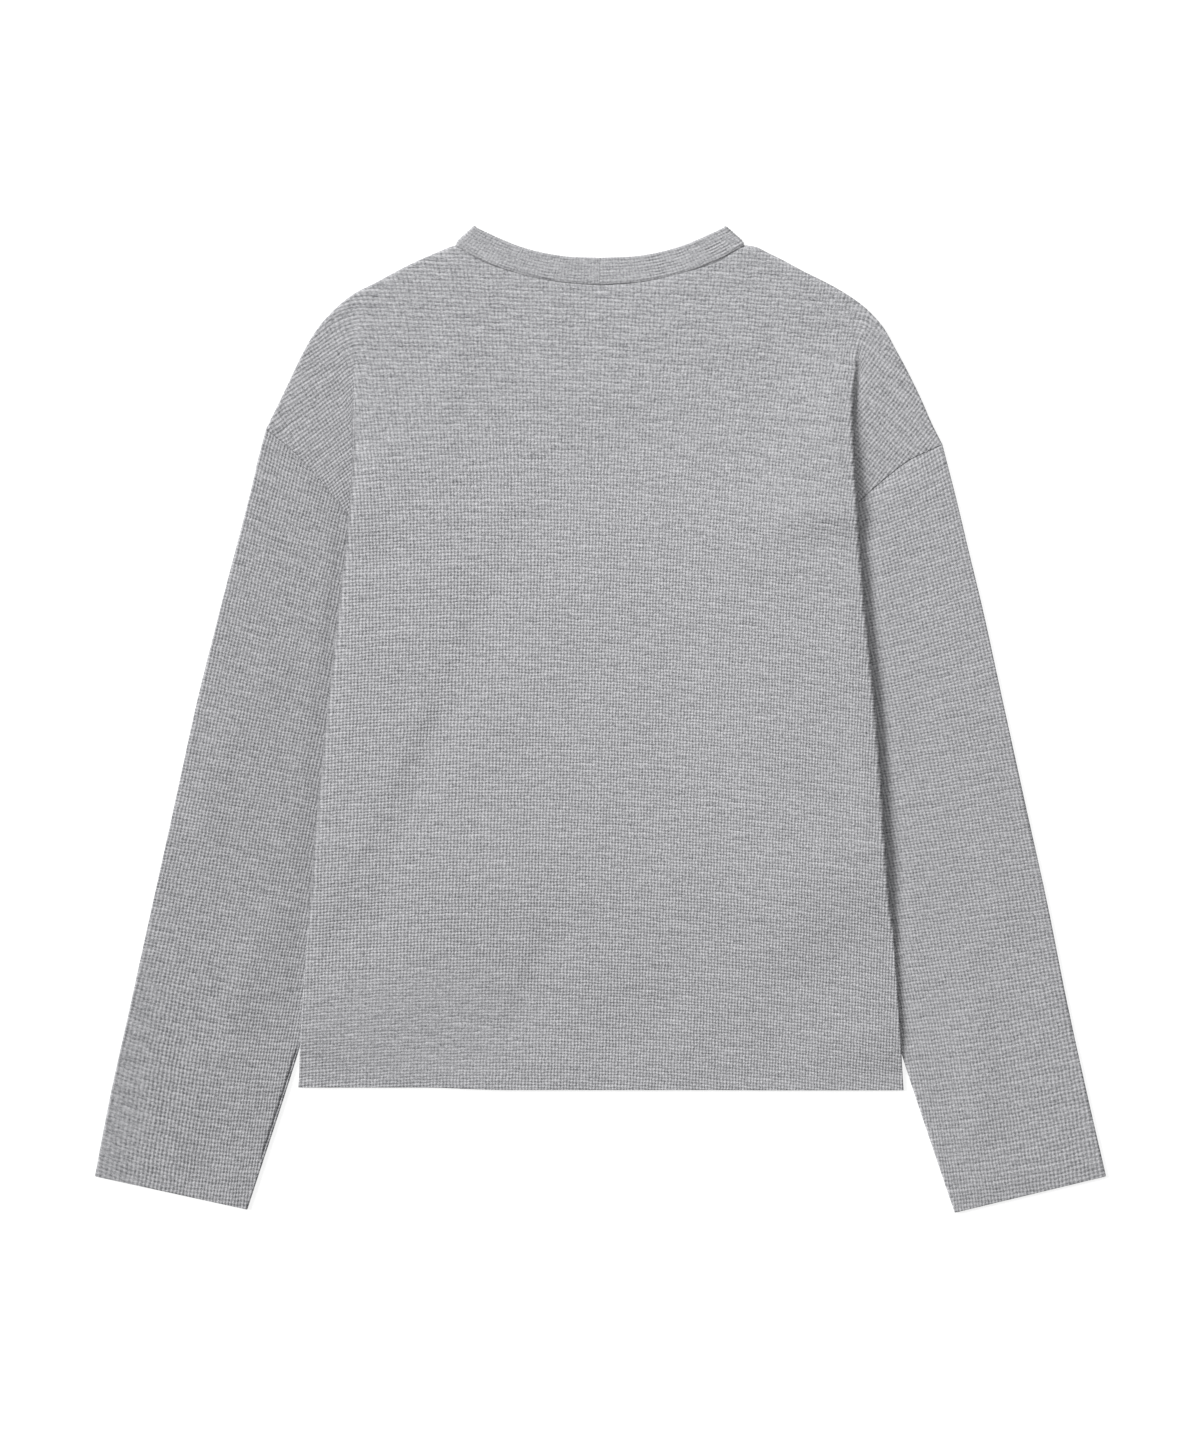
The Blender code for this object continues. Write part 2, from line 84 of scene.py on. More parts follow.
ARMHOLE = {
    "left": ((134.0, 84.0), (192.7, 162.1), (217.5, 190.4), (240.3, 209.5)),
    "right": ((126.0, 84.0), (200.5, 169.6), (225.6, 188.6), (246.5, 198.0)),
}
NECK = {
    "back": {
        "seam_x": (0, 32, 64, 88, 102.6),
        "seam_y": (313.2, 315.9, 323.2, 332.2, 341.6),
        "free_x": (0, 28, 56, 76, 88.8),
        "free_y": (332.3, 333.8, 340.0, 348.0, 354.0),
    },
    "front": {
        "seam_x": (0, 34, 64, 86, 98, 102.6),
        "seam_y": (238.0, 242.0, 256.0, 283.0, 315.0, 341.6),
        "free_x": (0, 30, 54, 70.5, 80, 88.8),
        "free_y": (257.0, 260.7, 272.2, 294.0, 320.0, 354.0),
    },
}

# How the side folds turn over and how high the body stands, both softer than in the solids. There
# the folds turn over sooner above the hem, and between the folds the back lies flat on the front.
TURN_EASE = 0.7
LEAST_STRIP = 0.9
HEM_FLAT = 104.0  # how far above the hem the side fold lies open
HEM_TURN = 75.0  # stretch above that in which it turns over
HEM_RISE = (5.0, 38.0)  # start and length of the stretch in which the body climbs onto the sleeve
SLOPE_MARGIN = 6.0  # flat part beside the centre line
SLOPE_INSET = 4.0
EDGE_SLOPE = 95.0
SOFT_START = 165.0  # length of the soft rise below the fold's top
SOFT_END = 150.0  # and above the hem
FULL_LIFT = 8.0
SPAN_HEIGHT = 7.5
SPAN_TOP = 300.0
SPAN_START = 235.0
SPAN_END = 180.0
FOLD_GROWTH = {"left": 0.6, "right": 0.58}  # share of its length in which the side fold turns over
FOLD_DEPTHS = (0, 0.12, 0.25, 0.4, 0.6, 0.8, 1.0, 1.25, 1.5)
FOLD_TURNS = {
    "left": (0, 0.05, 0.11, 0.22, 0.42, 0.64, 0.88, 1, 1),
    "right": (0, 0.16, 0.3, 0.43, 0.54, 0.68, 0.86, 1, 1),
}

# The knit.
WALE = 2.3  # from one upright ridge to the next
COURSE = 2.3  # from one cross ridge to the next
BAND_COURSE = 2.2
SLEEVE_WALE = 2.55
SLEEVE_COURSE = 2.5
SLEEVE_OPEN = {"left": 1.022, "right": 0.96}  # how close the sleeves' wales are high up
# How the wales close up across the cuff: by how much for each mm, and where they keep their distance.
SLEEVE_GATHER = {"left": (0.005, 232.0), "right": (0.0037, 262.0)}
SLEEVE_TILT = {"left": 0.185, "right": 0.15}  # how far the courses tilt low down
SLEEVE_GAIN = {"left": 0.03, "right": 0.065}  # how much closer the courses are half-way down
SLEEVE_BOW = {"left": 0.0014, "right": 0.0008}  # how the courses bow near the cuff, for each mm
LIGHT_YARN = (0.606, 0.604, 0.622, 1)
DARK_YARN = (0.145, 0.147, 0.155, 1)
# Near-black colour that the seam_shade attribute mixes in: painted shade at seams, at the left sleeve's
# lip and on the side folds, and the drop shoulders' darkening.
SEAM_SHADE = (0.03, 0.03, 0.032, 1)
DROP_SHOULDER_DARKENING = 0.08  # how far the drop shoulders are darkened towards SEAM_SHADE; it also marks their deeper pits
EVEN_WALES = (1, 1, 1)
BODY_PATCH = (-0.125, 0.085, -0.235, 0.045)  # lower left of the body, near the hem
CUFF_PATCH = (-0.304, 0.028, -0.29, 0.12)  # outer side of the left cuff
SHOULDER_GRAIN_TURN = {"left": 30.0, "right": 28.0}  # degrees the drop shoulder's knit is turned
SHOULDER_BLEND = 34.0  # how wide a stretch the turn is spread over at the fold's top
SHOULDER_SOFT = {"left": 78.0, "right": 30.0}  # how far below the top it is still spread
SHOULDER_PIVOT = {"left": 14.0, "right": 0.0}  # how far below the fold's top the knit turns about
SHOULDER_STRETCH = {"left": (0.12, 0.12), "right": (-0.09, 0.04)}  # how much finer its knit is
# How far its wales and its courses slant away from square.
SHOULDER_SLANT = {"left": (0.28, 0.07), "right": (0.082, 0.082)}
FAN_HEIGHT = 272.0  # height above which the body's wales fan out to the neck
FAN_REST = 127.3  # what the running total of that stretch is worth below it


# ---------------------------------------------------------------- curves and small formulas


def through(at, knots, values):
    """Cubic curve through the knots; the slope at each knot is the mean of its neighbours'."""
    knots = np.asarray(knots, float)
    values = np.asarray(values, float)
    if knots[0] > knots[-1]:
        knots, values = knots[::-1], values[::-1]
    slopes = np.gradient(values, knots)
    at = np.clip(at, knots[0], knots[-1])
    left = np.clip(np.searchsorted(knots, at) - 1, 0, len(knots) - 2)
    span = knots[left + 1] - knots[left]
    t = (at - knots[left]) / span
    start = (2 * t**3 - 3 * t**2 + 1) * values[left] + (t**3 - 2 * t**2 + t) * span * slopes[left]
    end = (3 * t**2 - 2 * t**3) * values[left + 1] + (t**3 - t**2) * span * slopes[left + 1]
    return start + end


def along(points, shares):
    """Points at these shares of the length of a smooth curve through the given points."""
    points = np.asarray(points, float)
    steps = np.linalg.norm(np.diff(points, axis=0), axis=1)
    knots = np.concatenate([[0], np.cumsum(steps)]) / steps.sum()
    shares = np.asarray(shares, float)
    return np.stack([through(shares, knots, points[:, i]) for i in range(2)], axis=-1)


def smooth(t):
    """0 below t = 0, 1 above t = 1, and an S between them."""
    t = np.clip(t, 0, 1)
    return t * t * (3 - 2 * t)


def ramp(t, end=0.3):
    """0 below t = 0, 1 above t = 1, and straight between them but for an even bend at each end."""
    t = np.clip(t, 0, 1)
    first = t * t / (2 * end)
    last = 1 - end - (1 - t) ** 2 / (2 * end)
    return np.where(t < end, first, np.where(t > 1 - end, last, t - end / 2)) / (1 - end)


def roll(distance, radius):
    """Depth of a quarter round of this radius at a distance from its edge: radius there, 0 inside."""
    t = 1 - np.clip(distance / radius, 0, 1)
    return radius * (1 - np.sqrt(1 - t * t))


def unit(vectors):
    length = np.linalg.norm(vectors, axis=-1, keepdims=True)
    return vectors / np.where(length > 0, length, 1)


def graded(length, count, edge_steps):
    """0 to length: the given finer steps from the start, then this many even ones."""
    inner = np.linspace(edge_steps[-1], length, count + 1)
    return np.concatenate([edge_steps, inner[1:]])


# ---------------------------------------------------------------- where the cloth lies


def edge_x(side, y):
    return through(y, BODY_EDGE["y"], BODY_EDGE[side])


def outline_points(side, above):
    """The outline above the shoulder's tip, from the neck, or below it, down to the cuff."""
    tip = ARMHOLE[side][-1]
    rows = np.column_stack([OUTLINE[side], OUTLINE["y"]])
    apart = rows[:, 1] - tip[1]
    if above:
        return np.vstack([rows[apart > 8], tip])
    return np.vstack([tip, rows[apart < -8]])


def inner_fold_x(side, y):
    """Line of the second fold, straight from the top of the side fold to the underarm."""
    top = FOLD_TOP[side]
    arm_x, arm_y = UNDERARM[side]
    share = (top - y) / (top - arm_y)
    return edge_x(side, top) + share * (arm_x - edge_x(side, top))


def side_seam_x(side, y):
    """Line of the side seam on the turned strip, from the underarm to the hem's corner."""
    arm_x, arm_y = UNDERARM[side]
    hem = HEM_HEIGHT[side]
    start = arm_x + MID + TURN
    share = (arm_y - y) / (arm_y - hem)
    return start + share * (edge_x(side, hem) - start)


def side_fold(side, y):
    """(start x, radius, angle, strip, lift) of the side fold at the heights y.

    Above the underarm the cloth turns twice, so its angle grows from 0 at the fold's top to a half
    turn where there is room for it. Below, it turns once: it lies open over a stretch at the hem and
    turns over above that. The radius is a little larger while the fold is open. The strip takes the
    room between the visible edge and the hidden line as the turn is completed. start = edge less the
    furthest reach of the turn; lift = the height of the turns and the strip, plus the rise from the
    hem onto the sleeve.
    """
    y = np.asarray(y, float)
    above = y > UNDERARM[side][1]
    edge = edge_x(side, y)
    width = edge - inner_fold_x(side, y)
    share = np.clip((y - HEM_HEIGHT[side] - HEM_FLAT) / HEM_TURN, 0, 1)
    depth = (FOLD_TOP[side] - y) / (FOLD_TOP[side] - UNDERARM[side][1]) / FOLD_GROWTH[side]
    turned = through(depth, FOLD_DEPTHS, FOLD_TURNS[side])
    angle = np.maximum(np.pi * np.where(above, turned, share), 1e-3)
    upper_strip = width - 2 * (TURN + MID)
    lower_strip = edge - TURN - MID - side_seam_x(side, y)
    full = np.where(above, smooth((depth - 0.95) / 0.55), smooth((share - 0.85) / 0.4))
    strip = np.maximum(0, np.where(above, upper_strip, lower_strip) - LEAST_STRIP)
    strip = LEAST_STRIP + full * strip
    radius = TURN + TURN_EASE * (1 - angle / np.pi) / angle
    round_part = (radius + MID) * np.sin(np.minimum(angle, np.pi / 2))
    straight_part = (radius + EDGE_ROUND) * np.sin(angle) + strip * np.cos(angle)
    start = edge - np.maximum(round_part, straight_part)
    drops = np.where(above, 2, 1)
    rise = np.where(above, 0, SLEEVE_RISE * smooth((y - HEM_HEIGHT[side] - HEM_RISE[0]) / HEM_RISE[1]))
    lift = drops * radius * (1 - np.cos(angle)) + strip * np.sin(angle) + rise
    return start, radius, angle, strip, lift


def lift_at(side, x, y):
    """Height of the body's sandwich above the floor, at x outwards from the centre and at y.

    A soft rise starts near the centre line and is full over the folds; what the fold's own height
    differs from it is made up over a narrow stretch beside the fold.
    """
    y = np.asarray(y, float)
    fold = side_fold(side, y)
    start, lift = fold[0], fold[-1]
    soft = FULL_LIFT * ramp((FOLD_TOP[side] - y) / SOFT_START) * ramp((y - HEM_HEIGHT[side]) / SOFT_END)
    beside = smooth((x - start + EDGE_SLOPE) / EDGE_SLOPE)
    return np.where(y > FOLD_TOP[side], 0, soft * slope_share(side, x, y) + (lift - soft) * beside)


def slope_share(side, x, y):
    """0 at the centre line, 1 over the hidden edge that holds the body up beside the fold."""
    support = np.where(y > UNDERARM[side][1], inner_fold_x(side, y), side_seam_x(side, y)) - SLOPE_INSET
    return ramp((x - SLOPE_MARGIN) / (np.minimum(support, edge_x(side, y) - 8) - SLOPE_MARGIN))


# ---------------------------------------------------------------- grain of the knit


def ease(y, middle, width):
    """0 far below the middle, 1 far above it, along a hyperbolic tangent."""
    return 0.5 + 0.5 * np.tanh((y - middle) / width)


def ease_sum(y, middle, width):
    """The running total of ease along y."""
    return 0.5 * (y + width * np.log(np.cosh((y - middle) / width)))


def body_grain(points):
    """(across, up) of the body's knit: both ways are drawn open at the shoulders.

    across = x times a stretch that drops by 0.14 towards the top, with a bend by x squared and a
    lean by y; above the fan's height it also turns by a share of x that grows with the height. up =
    the running total of a stretch that eases off twice on the way to the top, with a tilt by x and
    with courses that sag by x squared, less so near the neck.
    """
    x, y = points[..., 0], points[..., 1]
    across = x * (1.01 - 0.14 * ease(y, 215, 80)) + 1.9e-4 * x**2 - 0.03 * y
    across = across + (2.2e-6 * x**2 - 7e-4 * x) * (ease_sum(y, FAN_HEIGHT, 25) - FAN_REST)
    sag = 3.0e-4 * (1 - 0.85 * ease(y, 240, 45))
    up = 1.02 * y - 0.11 * ease_sum(y, 130, 110) - 0.05 * ease_sum(y, 250, 20)
    up = up + 0.045 * x + sag * x**2
    return np.stack([across, up], axis=-1)


def shoulder_grain(side, points, centre, hung):
    """Grain near one shoulder: the cloth is turned about the fold's top by share x turn.

    points are seen from above; hung is 1 on the drop shoulder under the fold and 0 on the body. The
    share is hung itself far below the fold's top, an S across the crease near it, and above it a fan
    over the bearing from the top. In the turned axes, across = (out + lean x up) x closer and along
    the fold = (up + tilt x out) x shorter, each of them by its share.
    """
    sign = SIDES[side]
    offset = (points[..., :2] - centre) * (sign, 1)
    bearing = np.degrees(np.arctan2(offset[..., 1], offset[..., 0]))
    # 90 is straight up, 0 is straight out, -90 straight down along the fold, 180 straight in
    bearing = np.where(bearing < -90, bearing + 360, bearing)
    fan = smooth((125 - bearing) / 115)
    width = 0.5 + SHOULDER_BLEND * smooth(1 + offset[..., 1] / SHOULDER_SOFT[side])
    crossed = smooth(0.5 + offset[..., 0] / width)
    drape = np.where(offset[..., 1] < -SHOULDER_SOFT[side], hung > 0.5, crossed)
    share = drape + (fan - drape) * smooth((offset[..., 1] + 8) / 26)
    angle = np.radians(SHOULDER_GRAIN_TURN[side]) * share
    cos, sin = np.cos(angle), np.sin(angle)
    pivot = offset[..., 1] + SHOULDER_PIVOT[side]
    out = offset[..., 0] * cos - pivot * sin
    up = offset[..., 0] * sin + pivot * cos
    lean, tilt = SHOULDER_SLANT[side]
    closer, shorter = SHOULDER_STRETCH[side]
    across = (out + share * lean * up) * (1 + share * closer)
    along_fold = (up + share * tilt * out) * (1 + share * shorter) - SHOULDER_PIVOT[side]
    return centre + np.stack([across, along_fold], axis=-1) * (sign, 1)


# ---------------------------------------------------------------- soft relief of the back

# Soft ridges (height > 0) and troughs of the upper layer: from (x, y) to (x, y), half width, height.
BODY_CREASES = (
    # x0, y0, x1, y1, half width, height
    (-76, 114, -114, 4, 8, -0.7),
    (-114, 4, -182, -148, 8, -1.3),
    (-182, -148, -208, -226, 8, -1.4),
    (76, 40, 150, -160, 20, 0.8),
    (-36, -150, -66, -225, 8, -0.7),
    (44, -236, 52, -196, 9, -0.5),
    (-90, 262, -150, 292, 12, 0.5),
    (96, 268, 150, 290, 14, 0.4),
    (-20, 150, 60, 60, 40, 0.5),
    (10, -252, 120, -246, 9, 0.3),
)
SLEEVE_CREASES = {
    "left": (
        # across (0 inner edge, 1 outer), along (0 seam, 1 cuff), along end, half width, height
        (0.35, 0.06, 0.30, 12, 0.8),
        (0.70, 0.25, 0.55, 16, 0.7),
        (0.30, 0.55, 0.80, 14, 0.8),
        (0.62, 0.78, 0.97, 12, 0.4),
        (0.50, 0.74, 1.0, 48, -1.6),
    ),
    "right": (
        (0.45, 0.08, 0.34, 14, 0.8),
        (0.68, 0.30, 0.62, 16, 0.6),
        (0.36, 0.62, 0.90, 15, 0.8),
    ),
}


def crease_relief(x, y, rows):
    """Sum of soft strokes: height times a bell across the stroke, faded towards its two ends.

    Seen along the stroke, the bell is three times as wide on the left as it is on the right.
    """
    total = np.zeros(np.shape(x))
    for x0, y0, x1, y1, half, height in rows:
        length = np.hypot(x1 - x0, y1 - y0)
        ux, uy = (x1 - x0) / length, (y1 - y0) / length
        s = (x - x0) * ux + (y - y0) * uy
        d = (x - x0) * uy - (y - y0) * ux
        ends = smooth((s + half) / (2 * half)) * smooth((length + half - s) / (2 * half))
        width = half * (1 + 2 * (d < 0))
        total = total + height * np.exp(-((d / width) ** 2)) * ends
    return total


def span_of_back(points, half):
    """How far the back is held off the front, as it spans from one side fold to the other.

    In the middle it is a long low arch from the neck to the hem; towards each fold the lift of the
    body itself takes its place. half is 0 on the left and 1 on the right.
    """
    x, y = np.abs(points[..., 0]), points[..., 1]
    arch = SPAN_HEIGHT * ramp((SPAN_TOP - y) / SPAN_START) * ramp((y - HEM_HEIGHT["middle"]) / SPAN_END)
    left, right = (1 - slope_share(side, x, y) for side in SIDES)
    return arch * (left + half * (right - left))


def loft_of_back(points):
    """How far the back lies off the front: a little everywhere, in three low waves, and its creases."""
    x, y = points[..., 0], points[..., 1]
    waves = 0.12 * np.sin(x / 31 + y / 47 + 1.3) + 0.1 * np.sin(x / 17 - y / 23)
    waves = waves + 0.08 * np.sin(y / 11 + x / 60)
    return 0.35 + waves + crease_relief(x, y, BODY_CREASES)


# ---------------------------------------------------------------- grids and walls


def mean_direction(points, axis, closed=False):
    """Unit direction of a grid along one axis, the mean of the steps before and after a point."""
    step = unit(np.diff(points, axis=axis))
    if closed:
        last = unit(np.take(points, [0], axis) - np.take(points, [-1], axis))
        after = np.concatenate([step, last], axis)
        return unit(after + np.roll(after, 1, axis))
    gap = np.full(np.take(points, [0], axis).shape, np.nan)
    after = np.nan_to_num(np.concatenate([step, gap], axis))
    before = np.nan_to_num(np.concatenate([gap, step], axis))
    return unit(after + before)


def cells_of(present, closed_columns=False):
    """Corner numbers of each cell of a grid whose four points are present."""
    rows, columns = present.shape
    number = np.arange(rows * columns).reshape(rows, columns)
    if closed_columns:
        number = np.column_stack([number, number[:, 0]])
        present = np.column_stack([present, present[:, 0]])
    keep = present[:-1, :-1] & present[:-1, 1:] & present[1:, 1:] & present[1:, :-1]
    corners = [number[:-1, :-1], number[:-1, 1:], number[1:, 1:], number[1:, :-1]]
    return np.stack([corner[keep] for corner in corners], axis=-1)


def wall(outer, inner, cells):
    """(points, faces, index) of a wall between two faces of one grid, closed along its free edges.

    index gives the grid point of each point, so that a value kept on the grid goes on both faces.
    """
    count = len(outer)
    size = 2 * count
    ends = np.concatenate([cells[:, [i, (i + 1) % 4]] for i in range(4)]).astype(np.int64)
    forward = ends[:, 0] * size + ends[:, 1]
    backward = ends[:, 1] * size + ends[:, 0]
    rim = ends[~np.isin(backward, forward)]
    sides = np.column_stack([rim[:, 1], rim[:, 0], rim[:, 0] + count, rim[:, 1] + count])
    faces = np.vstack([cells, cells[:, ::-1] + count, sides])
    used, faces = np.unique(faces, return_inverse=True)
    points = np.vstack([outer, inner])[used]
    return points, faces.reshape(-1, 4), used % count


def make_piece(name, middle, normal, outer, inner, cells, grain, painted_darkening, material):
    """Wall whose two faces are the middle moved along its normal by outer and by inner.

    It becomes a mesh object in metres, with its grain as a UV map and its painted darkening as an
    attribute: painted shade at seams, at the left sleeve's lip and on the side folds, and the drop
    shoulders' darkening.
    """
    sides = [(middle + normal * offset[..., None]).reshape(-1, 3) for offset in (outer, inner)]
    points, faces, index = wall(*sides, cells)
    grain = grain.reshape(-1, 2)[index]
    painted_darkening = painted_darkening.ravel()[index]
    mesh = bpy.data.meshes.new(name)
    mesh.vertices.add(len(points))
    mesh.loops.add(faces.size)
    mesh.polygons.add(len(faces))
    mesh.vertices.foreach_set("co", (points * MM).astype(np.float32).ravel())
    mesh.loops.foreach_set("vertex_index", faces.astype(np.int32).ravel())
    mesh.polygons.foreach_set("loop_start", np.arange(0, faces.size, 4, dtype=np.int32))
    mesh.polygons.foreach_set("loop_total", np.full(len(faces), 4, np.int32))
    mesh.update(calc_edges=True)
    mesh.validate()
    layer = mesh.uv_layers.new(name="grain")
    layer.data.foreach_set("uv", (grain[faces.ravel()] * MM).astype(np.float32).ravel())
    # painted darkening: painted shade and the drop shoulders' darkening, mixed towards SEAM_SHADE in
    # the material
    shade = mesh.attributes.new("seam_shade", "FLOAT", "POINT")
    shade.data.foreach_set("value", painted_darkening.astype(np.float32))
    mesh.shade_smooth()
    mesh.materials.append(material)
    thing = bpy.data.objects.new(name, mesh)
    bpy.context.scene.collection.objects.link(thing)
    return thing


# ---------------------------------------------------------------- the panels

EDGE_STEPS = np.array([0, 0.15, 0.4, 0.8, 1.3, 1.9, 2.8])
NECK_COLUMNS = np.linspace(0, NECK_SHARE, 46)
OUTER_COLUMNS = NECK_SHARE + (1 - NECK_SHARE) * np.linspace(0, 1, 41)[1:]
BODY_COLUMNS = np.concatenate([NECK_COLUMNS, OUTER_COLUMNS])
TURN_STEPS = np.linspace(0, 1, 9)[1:]
STRIP_STEPS = np.array([0.35, 0.7])
STRIP_INSETS = np.array([1.6, 1.1, 0.6, 0.25, 0])
DROP_INSETS = np.array([3.0, 2.0, 1.3, 0.8, 0.4, 0.15, 0])
DROP_COLUMNS = np.linspace(0, 1, 19)[1:]


def column_counts():
    """Where each group of columns ends, counted from the centre line."""
    body = len(BODY_COLUMNS)
    first = body + len(TURN_STEPS)
    strip = first + len(STRIP_STEPS) + len(STRIP_INSETS)
    second = strip + len(TURN_STEPS)
    drop = second + len(DROP_COLUMNS) + len(DROP_INSETS)
    return body, first, strip, second, drop


def body_rows(side, y, centre_y):
    """Rows from the centre line to the start of the fold: level outside, lower in the middle."""
    start = side_fold(side, y)[0]
    bend = smooth((BODY_COLUMNS - ROW_BEND[0]) / (ROW_BEND[1] - ROW_BEND[0]))
    xs = BODY_COLUMNS * start[:, None]
    ys = centre_y[:, None] + bend * (y - centre_y)[:, None]
    return np.stack([xs, ys, MID + lift_at(side, xs, ys)], axis=-1)


def fold_rows(side, y):
    """Rows round the first fold, along the strip and round the second fold.

    A fold of radius R and angle A is (R sin a, R cos a - R); the strip runs on at angle A, and the
    second fold is the first one turned back.
    """
    start, radius, angle, strip, lift = (part[:, None] for part in side_fold(side, y))
    steps = TURN_STEPS * angle
    arc = np.stack([radius * np.sin(steps), radius * (np.cos(steps) - 1)], axis=-1)
    heading = np.stack([np.cos(angle), -np.sin(angle)], axis=-1)
    insets = np.minimum(STRIP_INSETS, strip * 0.8)
    runs = np.concatenate([STRIP_STEPS * (strip - insets[:, :1]), strip - insets], axis=1)
    straight = arc[:, -1:] + runs[..., None] * heading
    back = angle - steps
    turn = np.stack([np.sin(angle) - np.sin(back), np.cos(angle) - np.cos(back)], axis=-1)
    second = straight[:, -1:] + radius[..., None] * turn
    flat = np.concatenate([arc, straight, second], axis=1)
    ys = np.broadcast_to(y[:, None], flat.shape[:2])
    return np.stack([start + flat[..., 0], ys, MID + lift + flat[..., 1]], axis=-1)


def drop_rows(starts, ends):
    """Rows of the drop shoulder, from the second fold to the armhole seam, finer at the seam."""
    length = np.linalg.norm(ends - starts, axis=-1)[:, None]
    insets = np.minimum(DROP_INSETS, length * 0.5 * DROP_INSETS / DROP_INSETS[0])
    runs = np.concatenate([DROP_COLUMNS * (length - insets[:, :1]) * 0.97, length - insets], axis=1)
    return starts[:, None] + (runs / length)[..., None] * (ends - starts)[:, None]


def top_edge(side, neck):
    """Where each column ends: the neck seam first, then along the shoulder's edge to its tip."""
    body, _, _, second, _ = column_counts()
    seam_x = NECK_COLUMNS / NECK_SHARE * NECK[neck]["seam_x"][-1]
    seam_y = through(seam_x, NECK[neck]["seam_x"], NECK[neck]["seam_y"])
    low, high = FOLD_ON_SHOULDER
    outer = (OUTER_COLUMNS - NECK_SHARE) / (1 - NECK_SHARE)
    fold = np.linspace(low, high, second - body + 1)[1:]
    runs = np.concatenate([DROP_COLUMNS * 0.97, 1 - DROP_INSETS / 100])
    hang = high + runs * (1 - high)
    shoulder = along(outline_points(side, True), np.concatenate([outer * low, fold, hang]))
    return np.vstack([np.column_stack([seam_x, seam_y]), shoulder])


def panel_side(side, neck):
    """(middle, to closed edge, to open edge, to sewn edge) over the grid of one side."""
    body, first, strip, second, drop = column_counts()
    arm_y, top, hem = UNDERARM[side][1], FOLD_TOP[side], HEM_HEIGHT[side]
    low = graded(arm_y - hem, 80, np.concatenate([EDGE_STEPS, np.arange(4, 29, 2.0)]))
    y_low = hem + low
    centre_low = HEM_HEIGHT["middle"] + low * (arm_y - HEM_HEIGHT["middle"]) / (arm_y - hem)
    high = np.concatenate([[0], np.linspace(0.02, 0.8, 34), 0.8 + 0.2 * np.linspace(0, 1, 22)[1:]])
    y_high = arm_y + SEAM_STEP + high * (top - arm_y - SEAM_STEP)
    mean_top = sum(FOLD_TOP.values()) / 2
    scale = (mean_top - CENTRE_DROP - arm_y) / (top - arm_y)
    y = np.concatenate([y_low, y_high])
    centre = np.concatenate([centre_low, arm_y + (y_high - arm_y) * scale])
    rows = np.full((len(y), drop, 3), np.nan)
    rows[:, :body] = body_rows(side, y, centre)
    rows[:, body:second] = fold_rows(side, y)
    rows[: len(y_low), strip:] = np.nan
    seam = FIRST_SEAM_SHARE + (LAST_SEAM_SHARE - FIRST_SEAM_SHARE) * high
    ends = np.column_stack([along(ARMHOLE[side], seam), np.full(len(seam), MID)])
    rows[len(y_low):, second:] = drop_rows(rows[len(y_low):, second - 1], ends)
    base = rows[-1]
    edge = top_edge(side, neck)
    apart = edge - base[:, :2]
    length = np.linalg.norm(apart, axis=1)
    insets = EDGE_STEPS[::-1]
    shares = np.linspace(0, 1, 22)[1:-1, None] * (1 - insets[0] / length)
    shares = np.vstack([shares, 1 - insets[:, None] / length])
    upper = np.repeat(base[None], len(shares), axis=0)
    upper[..., :2] += shares[..., None] * apart
    upper[:, -1, :2] = along(ARMHOLE[side], LAST_SEAM_SHARE + (1 - LAST_SEAM_SHARE) * shares[:, -1])
    middle = np.concatenate([rows, upper])
    far = np.full(middle.shape[:2], 9.0)
    closed, opened, sewn = far.copy(), far.copy(), far.copy()
    opened[: len(low)] = low[:, None]
    top_inset = length * (1 - shares)
    closed[len(y):, len(NECK_COLUMNS) - 1:] = top_inset[:, len(NECK_COLUMNS) - 1:]
    sewn[len(y):, : len(NECK_COLUMNS)] = top_inset[:, : len(NECK_COLUMNS)]
    closed[: len(y_low), first + len(STRIP_STEPS): strip] = STRIP_INSETS
    at_seam = slice(drop - len(DROP_INSETS), drop)
    sewn[len(y_low):, at_seam] = np.minimum(sewn[len(y_low):, at_seam], DROP_INSETS)
    return middle, closed, opened, sewn


def panel_grain(side, middle):
    """Grain of one side: the body's, turned about the fold's top on the drop shoulder."""
    body, _, _, second, _ = column_counts()
    sign = SIDES[side]
    plan = middle[..., :2] * (sign, 1)
    top = FOLD_TOP[side]
    centre = np.array([sign * edge_x(side, top), top])
    columns = np.arange(middle.shape[1])
    hung = np.broadcast_to((columns >= second - 1).astype(float), plan.shape[:2])
    grain = body_grain(shoulder_grain(side, plan, centre, hung * (middle[..., 1] < top)))
    edge = grain[:, body - 1: body]
    turned = slice(body, second)
    run = np.cumsum(np.linalg.norm(np.diff(middle[:, body - 1: second], axis=1), axis=-1), axis=1)
    below = (middle[:, body - 1: body, 1] < top)
    strip_grain = edge + np.stack([sign * run, np.zeros(run.shape)], axis=-1)
    grain[:, turned] = np.where(below[..., None], strip_grain, grain[:, turned])
    return grain


